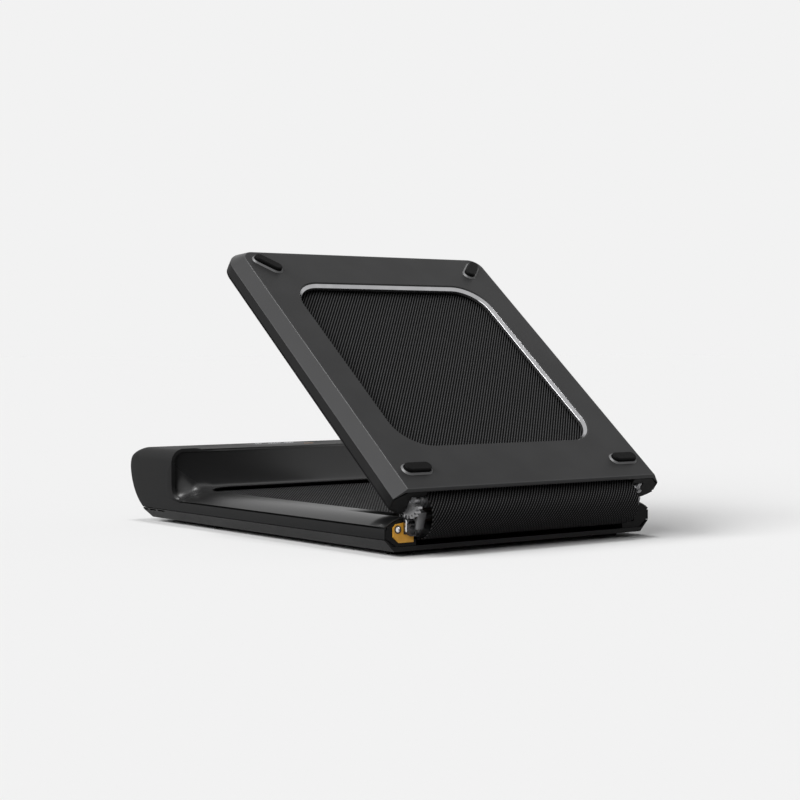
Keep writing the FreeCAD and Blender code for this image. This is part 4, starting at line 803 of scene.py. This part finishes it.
def length_along(line):
    """Distance along a line of points, from its start."""
    return np.concatenate([[0], np.cumsum(np.linalg.norm(np.diff(line, axis=0), axis=1))])


def at_back(line):
    """(x, height) pairs as points on the hood's back."""
    return np.column_stack([line[:, 0], np.full(len(line), HOOD_BACK - GAP), line[:, 1]])


def cubic(start, leave_start, leave_end, end, share):
    """Cubic curve between two ends: it leaves each end towards the point that its way reaches."""
    return ((1 - share) ** 3 * start + 3 * share * (1 - share) ** 2 * (start + leave_start)
            + 3 * share ** 2 * (1 - share) * (end + leave_end) + share ** 3 * end)


# The left half of the outer edge: along the rail, up the fillet and the hood's back corner, to the middle.
rail_at = [NEAR_END, POCKET_END, 150, 280, 400, 450, 480, 500, 515, 530, 545, 560, HOOD_BACK - FILLET]
fillet_line = arc(gusset_centre, FILLET - GAP, gusset_angle)
upright = np.linspace(UPRIGHT_LOW, UPRIGHT_HIGH, 4)
back_upright = np.column_stack([np.full(len(upright), -HALF_WIDTH), upright])
back_corner = arc((-HALF_WIDTH + TOP_ROUND, HOOD_TOP - TOP_ROUND), TOP_ROUND,
                  np.linspace(np.pi, np.pi / 2, 11))
back_top = with_level(np.linspace(TOP_INNER, 0, 13), HOOD_TOP)
outer_edge = np.concatenate([
    at_x(-HALF_WIDTH, with_level(rail_at, CROWN_LOW)),
    at_x(-HALF_WIDTH, fillet_line[1:]),
    at_back(back_upright),
    at_back(back_corner),
    at_back(back_top),
])
outer_at = length_along(outer_edge)
lip_corner = arc((-RAIL_INNER + LIP_ROUND, LIP_BACK - LIP_ROUND), LIP_ROUND,
                 np.linspace(np.pi, np.pi / 2, 13))
inner_plan = np.concatenate([[[-RAIL_INNER, NEAR_END], [-RAIL_INNER, LIP_START]], lip_corner,
                             [[0.0, LIP_BACK]]])
inner_at = length_along(inner_plan)

# Stations along the outer edge: hinge, end of the rail, upright, start of the top, middle.
top_start = outer_at[-len(back_top)]
upright_at = outer_at[-len(back_top) - len(back_corner) - 2]
stations = [0, RAIL_STOP, upright_at, top_start, outer_at[-1]]
spread = glide(outer_at, [0, RAIL_STOP, top_start, outer_at[-1]],
               [[0], [RAIL_STOP], [inner_at[-2]], [inner_at[-1]]], SOFT_WIDTH)[:, 0]
spread[0] = 0.0
spread[-1] = inner_at[-1]
lip_rise = glide(spread, [0, LIFT_START, inner_at[-2], inner_at[-1]], [[0], [0], [1], [1]], SOFT_WIDTH)
inner_edge = np.column_stack([np.interp(spread, inner_at, inner_plan[:, 0]),
                              np.interp(spread, inner_at, inner_plan[:, 1]),
                              RAIL_TOP + (LIP_TOP - RAIL_TOP) * lip_rise[:, 0]])
leave_outer = glide(outer_at, stations, OUTER_PULL * np.array(
    [[0.79, 0, 0.61], [0.79, 0, 0.61], [0.9, 0.5, -0.4], [0.3, 0.0, -1.4], [0, -0.08, -1.42]]))
leave_inner = glide(outer_at, stations, INNER_PULL * np.array(
    [[-1, 0, 0], [-1, 0, 0], [-0.9, 0.3, 0.0], [-0.3, 0.55, 0], [0, 0.56, 0]]))

# One of the samples across falls on the edge of the hinge pocket, so that the rail can end there.
fine = np.linspace(0, 1, 401)
rail_x = cubic(outer_edge[0, 0], leave_outer[0, 0], leave_inner[0, 0], inner_edge[0, 0], fine)
pocket_at = np.interp(-POCKET_EDGE, rail_x, fine)
even = np.concatenate([[0, 0.008, 0.02], np.linspace(0.05, 0.985, 26), [1]])
sample = np.sort(np.append(even, pocket_at))
section = cubic(outer_edge, leave_outer, leave_inner, inner_edge, sample[:, None, None])
groove_way = glide(outer_at, stations, [[3.2, 0, 0], [3.2, 0, 0], [2.8, 0.5, 0], [1, 0, -2.6], [0, 0, -2.8]])
flange_way = glide(outer_at, stations, [[3.2, 0, -4], [3.2, 0, -4], [2.8, 4, 0], [1, 4, -2.6], [0, 4, -2.8]])
lip_way = glide(outer_at, stations, [[0, 0, -5], [0, 0, -5], [0.4, 0.4, -4], [0.2, 0.8, -2.2], [0, 1, -2.2]])
surface = np.concatenate([(outer_edge + flange_way)[None], (outer_edge + groove_way)[None], section,
                          (inner_edge + 0.25 * lip_way)[None], (inner_edge + lip_way)[None]])
surface = np.concatenate([surface, (surface * [-1, 1, 1])[:, -2::-1]], axis=1)
dish_keep = np.ones((surface.shape[0] - 1, surface.shape[1] - 1), bool)
rows_before = 2
pocket_row = rows_before + int(np.argmin(np.abs(sample - pocket_at)))
dish_keep[pocket_row:, 0] = False
dish_keep[pocket_row:, -1] = False
# The dish is painted lighter than the rails: painted light where the lamps reach it, rising from the rail's end to
# the hood's back.
half_painted_light = glide(outer_at, stations, [[0], [0], [0.4], [1], [1]])[:, 0]
whole_painted_light = np.concatenate([half_painted_light, half_painted_light[-2::-1]])
dish_painted_light = np.broadcast_to(whole_painted_light[None, :, None], surface.shape)
make_piece("rail_and_dish", [(place_front(surface), False, dish_keep)], inner_finish, "front",
           outward=(0, -0.4, 1), thick=2.0, marks=("polish", dish_painted_light),
           replaces=["hood_scoop", "front_foot_rail_left", "front_foot_rail_right"])

# %% [markdown]
# ## The running belt
# The belt's skin is pressed into small raised diamonds, a little longer than wide. Counting them
# in the two slanting directions gives a height field: low where either count is whole, high in
# between. The grid's step is half a diamond, so the points fall on crests and groove crossings,
# and the finish reads the same two counts.

# %% Belt
BELT_HALF = 210.0
BELT_THICK = 1.8
BELT_UPPER = 56.9
BELT_LOWER = 24.5
ROLLER_HEIGHT = 40.7
ROLLER_TURN = 16.2
UPPER_START = 24.2
LOWER_START = -8.05
FRONT_ROLLER_AT = 686.0
REAR_ROLLER_AT = 548.0
PITCH = 5.5
LENGTH = 7.0
RELIEF = 0.5
PLAIN_EDGE = 2.0


def diamonds(x, along):
    """Counts of diamonds in the two slanting directions."""
    return x / PITCH + along / LENGTH, x / PITCH - along / LENGTH


def pressed_height(first, second):
    """Height of the pressed pattern: 0 where either count is whole, RELIEF half way between."""
    return RELIEF * 4 * np.abs(first - np.round(first)) * np.abs(second - np.round(second))


def belt_grid(line, normal, along):
    """Closed strip: a pressed outer face over the centre line and a plain inner face, closed at
    both ends. Line and normal are (distance, height) pairs, along is the length so far."""
    count = int(round(4 * BELT_HALF / PITCH))
    x = np.linspace(-BELT_HALF, BELT_HALF, count + 1)
    pressed = np.abs(x) < BELT_HALF - PLAIN_EDGE
    rise = pressed_height(*diamonds(x[None, :], along[:, None])) * pressed
    out = line[:, None, :] + normal[:, None, :] * (BELT_THICK / 2 - RELIEF + rise)[..., None]
    outer = np.concatenate([np.broadcast_to(x[None, :, None], rise.shape + (1,)), out], axis=-1)
    below = line - normal * BELT_THICK / 2
    edges = np.stack([at_x(x_edge, below) for x_edge in (BELT_HALF, -BELT_HALF)], axis=1)
    ring = np.concatenate([outer, edges], axis=1)
    ends = []
    for row in (0, -1):
        end = ring[row].copy()
        end[:, 1:] = below[row]
        ends.append(end[None])
    ring = np.concatenate([ends[0], ring, ends[1]])
    length = np.concatenate([along[:1], along, along[-1:]])
    pattern = np.stack([*diamonds(ring[..., 0], length[:, None]), np.zeros(ring.shape[:2])], axis=-1)
    return ring, pattern


def run(start, stop, level, up):
    """Straight run of belt at a level, walked from start to stop in half diamonds."""
    count = max(2, int(round(2 * abs(stop - start) / LENGTH)))
    at = np.linspace(start, stop, count + 1)
    return with_level(at, level), np.tile([0.0, up], (len(at), 1))


def belt_loop(name, roller_at, way, place, body, node):
    """Upper run, turn round the end roller, lower run. The way is 1 where the belt's length counts
    up along the loop and -1 where it counts down."""
    upper, upper_normal = run(UPPER_START, roller_at, BELT_UPPER, 1.0)
    angle = np.linspace(np.pi / 2, -np.pi / 2, 17)
    turn = arc((roller_at, ROLLER_HEIGHT), ROLLER_TURN, angle)
    turn_normal = arc((0, 0), 1, angle)
    lower, lower_normal = run(roller_at, LOWER_START, BELT_LOWER, -1.0)
    line = np.concatenate([upper, turn[1:-1], lower])
    normal = np.concatenate([upper_normal, turn_normal[1:-1], lower_normal])
    half_steps = LENGTH / 2 * np.arange(len(line))
    ring, pattern = belt_grid(line, normal, way * half_steps)
    make_piece(name, [closed(place(ring))], belt_finish, body,
               replaces=[node], marks=("pattern", pattern))


belt_loop("front_belt_skin", FRONT_ROLLER_AT, -1, place_front, "front", "belt_front")
belt_loop("rear_belt_skin", REAR_ROLLER_AT, 1, place_rear, "rear", "belt_rear")

# %% [markdown]
# ## The belt at the open fold
# Between the halves the belt bends over the link. The outer bend is a wide arc about the middle of
# the link, and the inner bend a tight one. When the pad opens, the outer bend goes flat under the
# link and laps over both belt runs; here it rides on the link. The inner bend is pulled straight when
# the pad opens; here it is cut at the link's middle into two parts that stay where they lie at rest.

# %% Belt at the fold
OUTER_BEND = 35.42
INNER_BEND = 14.4
INNER_SHIFT = 34.2
BEND = FOLD / 2
link_middle = 0.5 * (front_axis + rear_axis)[1:]
link_way = unit((rear_axis - front_axis)[1:])
link_out = np.array([-link_way[1], link_way[0]])


def bend_grid(centre, radius, outer_side, first, last):
    """Arc of belt about a centre in the (y, z) plane, angles from the link's outward direction
    towards the rear half. The pressed face is on the outside of the arc or on its inside."""
    count = int(round(2 * radius * abs(last - first) / LENGTH))
    angle = np.linspace(first, last, count + 1)
    normal = np.cos(angle)[:, None] * link_out + np.sin(angle)[:, None] * link_way
    line = centre + radius * normal
    half_steps = -outer_side * LENGTH / 2 * np.arange(count + 1)
    return belt_grid(line, normal * outer_side, half_steps)


outer_grid, outer_pattern = bend_grid(link_middle, OUTER_BEND, 1, -BEND, BEND)
outer_bend = make_piece("belt_outer_bend", [closed(outer_grid)], belt_finish, "fold_link",
                        replaces=["belt_fold_lower"], marks=("pattern", outer_pattern))
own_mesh(outer_bend)

inner_centre = link_middle - link_out * INNER_SHIFT
for name, first, last, bodies in (("belt_inner_bend_front", -BEND, 0.0, ("front", "fold_link")),
                                  ("belt_inner_bend_rear", 0.0, BEND, ("fold_link", "rear"))):
    grid, pattern = bend_grid(inner_centre, INNER_BEND, -1, first, last)
    bend = make_piece(name, [closed(grid)], belt_finish, None,
                      replaces=["belt_fold_upper"], marks=("pattern", pattern))
    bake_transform(bend)

# %% [markdown]
# ## Feet
# Each foot is a raised oval rim with a rubber pad in it. Both are an oval outline, two half
# circles and two straights, carried up a small rounded profile.

# %% Feet
FOOT_LENGTH = 55.0
FOOT_WIDTH = 24.0
FOOT_SINK = 8.2
RIM_LEVEL = 5.4
FOOT_X = 211
FOOT_NEAR = 36
FRONT_FOOT_FAR = 521
CORNER_FOOT_X = 216
CORNER_FOOT_FAR = 539
CORNER_TURN = 45


def oval(inset, steps=14):
    """Closed oval outline of a foot about the origin, moved inwards by inset."""
    angle = np.linspace(-np.pi / 2, np.pi / 2, steps + 1)
    shift = (FOOT_LENGTH - FOOT_WIDTH) / 2
    right = arc((shift, 0), FOOT_WIDTH / 2 - inset, angle)
    return np.concatenate([right, -right])


def oval_stack(line, spot, degrees):
    """Rows of ovals, one for each (inset, level) of the line, turned and moved to a spot."""
    turn = np.radians(degrees)
    matrix = np.array([[np.cos(turn), np.sin(turn)], [-np.sin(turn), np.cos(turn)]])
    return np.array([with_level(oval(inset) @ matrix + spot, level) for inset, level in line])


def rim_ring(spot, degrees):
    """Rim of one foot: its profile goes round and ends where it began."""
    rim = oval_stack(rim_profile, spot, degrees)
    return np.concatenate([rim, rim[:1]])


def sole_pad(spot, degrees):
    """Rubber pad of one foot, closed at its hidden end by a pole in its middle."""
    pad = oval_stack(pad_profile, spot, degrees)
    pole = np.broadcast_to(pad[:1].mean(axis=1, keepdims=True), pad[:1].shape)
    return np.concatenate([pole, pad])


# Profiles of (inset, level), and the place and turn of the four feet under each half.
rim_profile = rounded_line([(-0.6, FOOT_SINK), (1.4, RIM_LEVEL, 0.6), (2.4, RIM_LEVEL, 0.3),
                            (2.6, FOOT_SINK)], 4, 0.1)
pad_profile = np.concatenate([rounded_line([(2.7, FOOT_SINK), (3.2, 0.0, 2.4), (8.0, 0.0)], 5, 0.2),
                              [(FOOT_WIDTH / 2 - 0.01, 0.0)]])
near_feet = [((-FOOT_X, FOOT_NEAR), 0), ((FOOT_X, FOOT_NEAR), 0)]
front_feet = near_feet + [((-FOOT_X, FRONT_FOOT_FAR), 0), ((FOOT_X, FRONT_FOOT_FAR), 0)]
rear_feet = near_feet + [((-CORNER_FOOT_X, CORNER_FOOT_FAR), -CORNER_TURN),
                         ((CORNER_FOOT_X, CORNER_FOOT_FAR), CORNER_TURN)]
for half, feet, place in (("front", front_feet, place_front), ("rear", rear_feet, place_rear)):
    rims = [closed(place(rim_ring(spot, degrees))) for spot, degrees in feet]
    pads = [closed(place(sole_pad(spot, degrees))) for spot, degrees in feet]
    make_piece(f"{half}_rim_rings", rims, foot_rim_finish, half,
               replaces=[f"{half}_foot_rims"])
    make_piece(f"{half}_sole_pads", pads, sole_finish, half,
               replaces=[f"{half}_foot_pads"])

# %% [markdown]
# ## The hinge's bolt and bar
# On the orange guard plate a domed bolt sits in a dark washer, and beside it a bright bar stands in
# the plate's cut-out. Bolt and washer are turned shapes: a profile of radius and height carried
# round the bolt's axis. The bar is an upright whose rounded plan is drawn in towards both ends.

# %% Hinge details
BOLT_X = -246.4
BOLT_HEIGHT = 40.9
BOLT_RADIUS = 4.2
DOME_SPAN = 62
DOME_BASE = 0.8
DOME_RISE = 2.4
WASHER_RADIUS = 6.2
WASHER_BORE = 4.5
WASHER_TOP = 0.5
SUNK = -0.4
PLATE_FACE = -6.5
BAR_X = -233.8
BAR_HALF = 4.2
BAR_NEAR = -15.5
BAR_FAR = -11.0
BAR_ROUND = 1.2
BAR_LOW = 37.0
BAR_HIGH = 55.3
BAR_END = 0.8


def turned(line, steps=32):
    """Profile of (radius, distance out of the plate) carried round the bolt's axis."""
    angle = np.linspace(0, 2 * np.pi, steps, endpoint=False)
    radius, out = line[:, :1], line[:, 1:]
    away_from_plate = np.broadcast_to(PLATE_FACE - out, (len(line), steps))
    return np.stack([BOLT_X + radius * np.cos(angle), away_from_plate,
                     BOLT_HEIGHT + radius * np.sin(angle)], axis=-1)


dome_angle = np.radians(np.linspace(0, DOME_SPAN, 9))
dome = np.column_stack([BOLT_RADIUS * np.sin(dome_angle) / np.sin(dome_angle[-1]),
                        DOME_BASE + DOME_RISE * (np.cos(dome_angle) - np.cos(dome_angle[-1]))])
bolt_line = np.concatenate([dome, [(BOLT_RADIUS, SUNK), (0.0, SUNK)]])
washer_line = rounded_line([(WASHER_RADIUS, SUNK), (WASHER_RADIUS, WASHER_TOP, 0.3),
                            (WASHER_BORE, WASHER_TOP, 0.2), (WASHER_BORE, SUNK),
                            (WASHER_RADIUS, SUNK)], 3, 0.05)
make_piece("guard_bolt_head", [closed(place_front(turned(bolt_line)))], bolt_finish, "front",
           replaces=["guard_plate_screw"])
make_piece("guard_bolt_washer", [closed(place_front(turned(washer_line)))], black_finish, "front")
bar_plan = outline(BAR_HALF, BAR_NEAR, BAR_FAR, BAR_ROUND, BAR_ROUND, 4) + [BAR_X, 0.0]
bar_middle = bar_plan.mean(axis=0)
# Share of the full plan at each level, from a pole below to a pole above.
bar_rows = [(0.0, BAR_LOW), (0.75, BAR_LOW), (1.0, BAR_LOW + BAR_END),
            (1.0, BAR_HIGH - BAR_END), (0.75, BAR_HIGH), (0.0, BAR_HIGH)]
guard_bar = np.array([with_level(bar_middle + share * (bar_plan - bar_middle), level)
                      for share, level in bar_rows])
make_piece("guard_bar", [closed(place_front(guard_bar))], bolt_finish, "front")

# %% [markdown]
# ## The display's digits
# Behind the smoked window sit small lit digits, all at zero before a walk, and an orange bar. Each
# digit is six thin bars laid in a ring, as on any such display.

# %% Display digits
DIGIT_WIDTH = 4.0
DIGIT_HEIGHT = 7.0
DIGIT_STEP = 6.5
DIGIT_NEAR = 694.0
STROKE = 0.8
ACROSS_GAP = 1.0
END_GAP = 0.6
MIDDLE_GAP = 0.3
BELOW_GLASS = 0.3
ABOVE_GLASS = 0.15
# Where each group of digits starts and how many it has, and the lit bar's x and distance, from and to.
DIGIT_GROUPS = ((-38.0, 2), (-9.0, 4), (26.0, 3))
LIT_BAR = (42.0, 62.0, 656.0, 658.5)


def flat_bar(x_low, x_high, near, far):
    """Closed thin bar: a ring below the glass's top, one above it, and a pole under and over them."""
    ring = np.array([[x_low, near], [x_high, near], [x_high, far], [x_low, far]])
    rings = [with_level(ring, level) for level in (HOOD_TOP - BELOW_GLASS, HOOD_TOP + ABOVE_GLASS)]
    poles = [np.broadcast_to(ends.mean(axis=0), ends.shape) for ends in rings]
    return np.stack([poles[0], rings[0], rings[1], poles[1]])


def zero_digit(left, near):
    """Six bars of a zero: two across, four upright."""
    right = left + DIGIT_WIDTH
    middle = near + DIGIT_HEIGHT / 2
    far = near + DIGIT_HEIGHT
    half = STROKE / 2
    bars = [flat_bar(left + ACROSS_GAP, right - ACROSS_GAP, at - half, at + half) for at in (near, far)]
    for start, stop in ((near + END_GAP, middle - MIDDLE_GAP), (middle + MIDDLE_GAP, far - END_GAP)):
        bars += [flat_bar(x - half, x + half, start, stop) for x in (left, right)]
    return bars


def lit(name, colour, strength):
    """Lit marking: a glow that is a little uneven, as behind a smoked window."""
    material, tree, shader = start_finish(name, colour, 0.4)
    shader.inputs["Emission Color"].default_value = (*colour, 1)
    shader.inputs["Emission Strength"].default_value = strength
    dark = tuple(0.85 * value for value in colour)
    ramp_colour(tree, shader, noise(tree, 300, 2), dark, colour)
    return material


digits = []
for group, count in DIGIT_GROUPS:
    for number in range(count):
        digits += zero_digit(group + DIGIT_STEP * number, DIGIT_NEAR)
make_piece("display_digits", [closed(place_front(bar)) for bar in digits],
           lit("lit_white", (0.8, 0.82, 0.85), 0.3), "front")
make_piece("display_bar", [closed(place_front(flat_bar(*LIT_BAR)))],
           lit("lit_orange", (0.8, 0.35, 0.08), 0.2), "front")

# %% [markdown]
# ## Studio
# The pad stands on a plain pale floor. Parallel lamps light floor and pad evenly, wherever they
# are, so the floor keeps one tone up to the horizon and only the pad's own shadow darkens it. The
# sky has that same tone for the camera and for reflections.

# %% Studio
BACKDROP = 0.888


def standing(place, side, above, behind):
    """Matrix of a lamp or camera from its place and its three directions."""
    matrix = np.eye(4)
    matrix[:3] = np.column_stack([side, above, behind, place])
    return Matrix(matrix.tolist())


SKY_LIGHT = 0.12
FLOOR_BOUNCE = 0.25
FLOOR_REACH = 60.0
LAMP_PLACE = (0, 0, 3)
# Lamps: the direction towards the lamp, its power, and its width in degrees.
LAMPS = (((-0.8, 0.22, 0.55), 1.9, 30), ((-0.82, -0.28, 0.5), 1.9, 36), ((0.0, 0.0, 1.0), 0.9, 15))
lamp_light = 0.0
for number, (toward, power, lamp_width) in enumerate(LAMPS):
    direction = unit(np.array(toward))
    lamp = bpy.data.lights.new(f"studio_lamp_{number}", "SUN")
    lamp.energy = power
    lamp.angle = np.radians(lamp_width)
    holder = bpy.data.objects.new(f"studio_lamp_{number}", lamp)
    side_way = unit(np.cross([0, 1, 0], direction))
    holder.matrix_world = standing(LAMP_PLACE, side_way, np.cross(direction, side_way), direction)
    scene.collection.objects.link(holder)
    lamp_light += power * direction[2] / np.pi

sky = bpy.data.worlds.new("studio_sky")
scene.world = sky
sky.use_nodes = True
tree = sky.node_tree
background = tree.nodes["Background"]
background.inputs["Color"].default_value = (1, 1, 1, 1)


def seen_or_hidden(tree, hidden, seen):
    """One value for rays that show a thing, straight or mirrored, and another for light that bounces."""
    path = tree.nodes.new("ShaderNodeLightPath")
    shows = path.outputs["Is Camera Ray"]
    for ray in ("Is Glossy Ray", "Is Transmission Ray"):
        either = tree.nodes.new("ShaderNodeMath")
        either.operation = "MAXIMUM"
        tree.links.new(shows, either.inputs[0])
        tree.links.new(path.outputs[ray], either.inputs[1])
        shows = either.outputs["Value"]
    level = tree.nodes.new("ShaderNodeMapRange")
    level.inputs["To Min"].default_value = hidden
    level.inputs["To Max"].default_value = seen
    tree.links.new(shows, level.inputs["Value"])
    return level.outputs["Result"]


tree.links.new(seen_or_hidden(tree, SKY_LIGHT, BACKDROP), background.inputs["Strength"])

floor_mesh = bpy.data.meshes.new("studio_floor")
floor_corners = FLOOR_REACH * np.array([(-1, -1, 0), (1, -1, 0), (1, 1, 0), (-1, 1, 0)])
floor_mesh.from_pydata(floor_corners, [], [(0, 1, 2, 3)])
floor = bpy.data.objects.new("studio_floor", floor_mesh)
scene.collection.objects.link(floor)
floor_tone = BACKDROP / (SKY_LIGHT + lamp_light)
floor_finish, tree, floor_shader = start_finish("pale_floor", (floor_tone,) * 3, 0.9, specular=0.0)
tree.links.new(seen_or_hidden(tree, FLOOR_BOUNCE, floor_tone), floor_shader.inputs["Base Color"])
floor_mesh.materials.append(floor_finish)
print("floor tone", floor_tone, "lamp light", lamp_light)

# %% [markdown]
# ## Camera
# The camera stands where the photographer's stood: straight edges of the pad fix its place, its
# turn and its lens.

# %% Camera
LENS = 81.69
SENSOR = 36.0
YAW = np.radians(37.40)
PITCH_DOWN = np.radians(1.63)
CAMERA_PLACE = (-1.85454, -2.46899, 0.3063)
camera_data = bpy.data.cameras.new("camera")
camera_data.lens = LENS
camera_data.sensor_width = SENSOR
camera = bpy.data.objects.new("camera", camera_data)
ahead = np.array([np.sin(YAW) * np.cos(PITCH_DOWN), np.cos(YAW) * np.cos(PITCH_DOWN), -np.sin(PITCH_DOWN)])
right = np.array([np.cos(YAW), -np.sin(YAW), 0.0])
camera.matrix_world = standing(CAMERA_PLACE, right, np.cross(right, ahead), -ahead)
scene.collection.objects.link(camera)
scene.camera = camera
scene.view_settings.view_transform = "Standard"
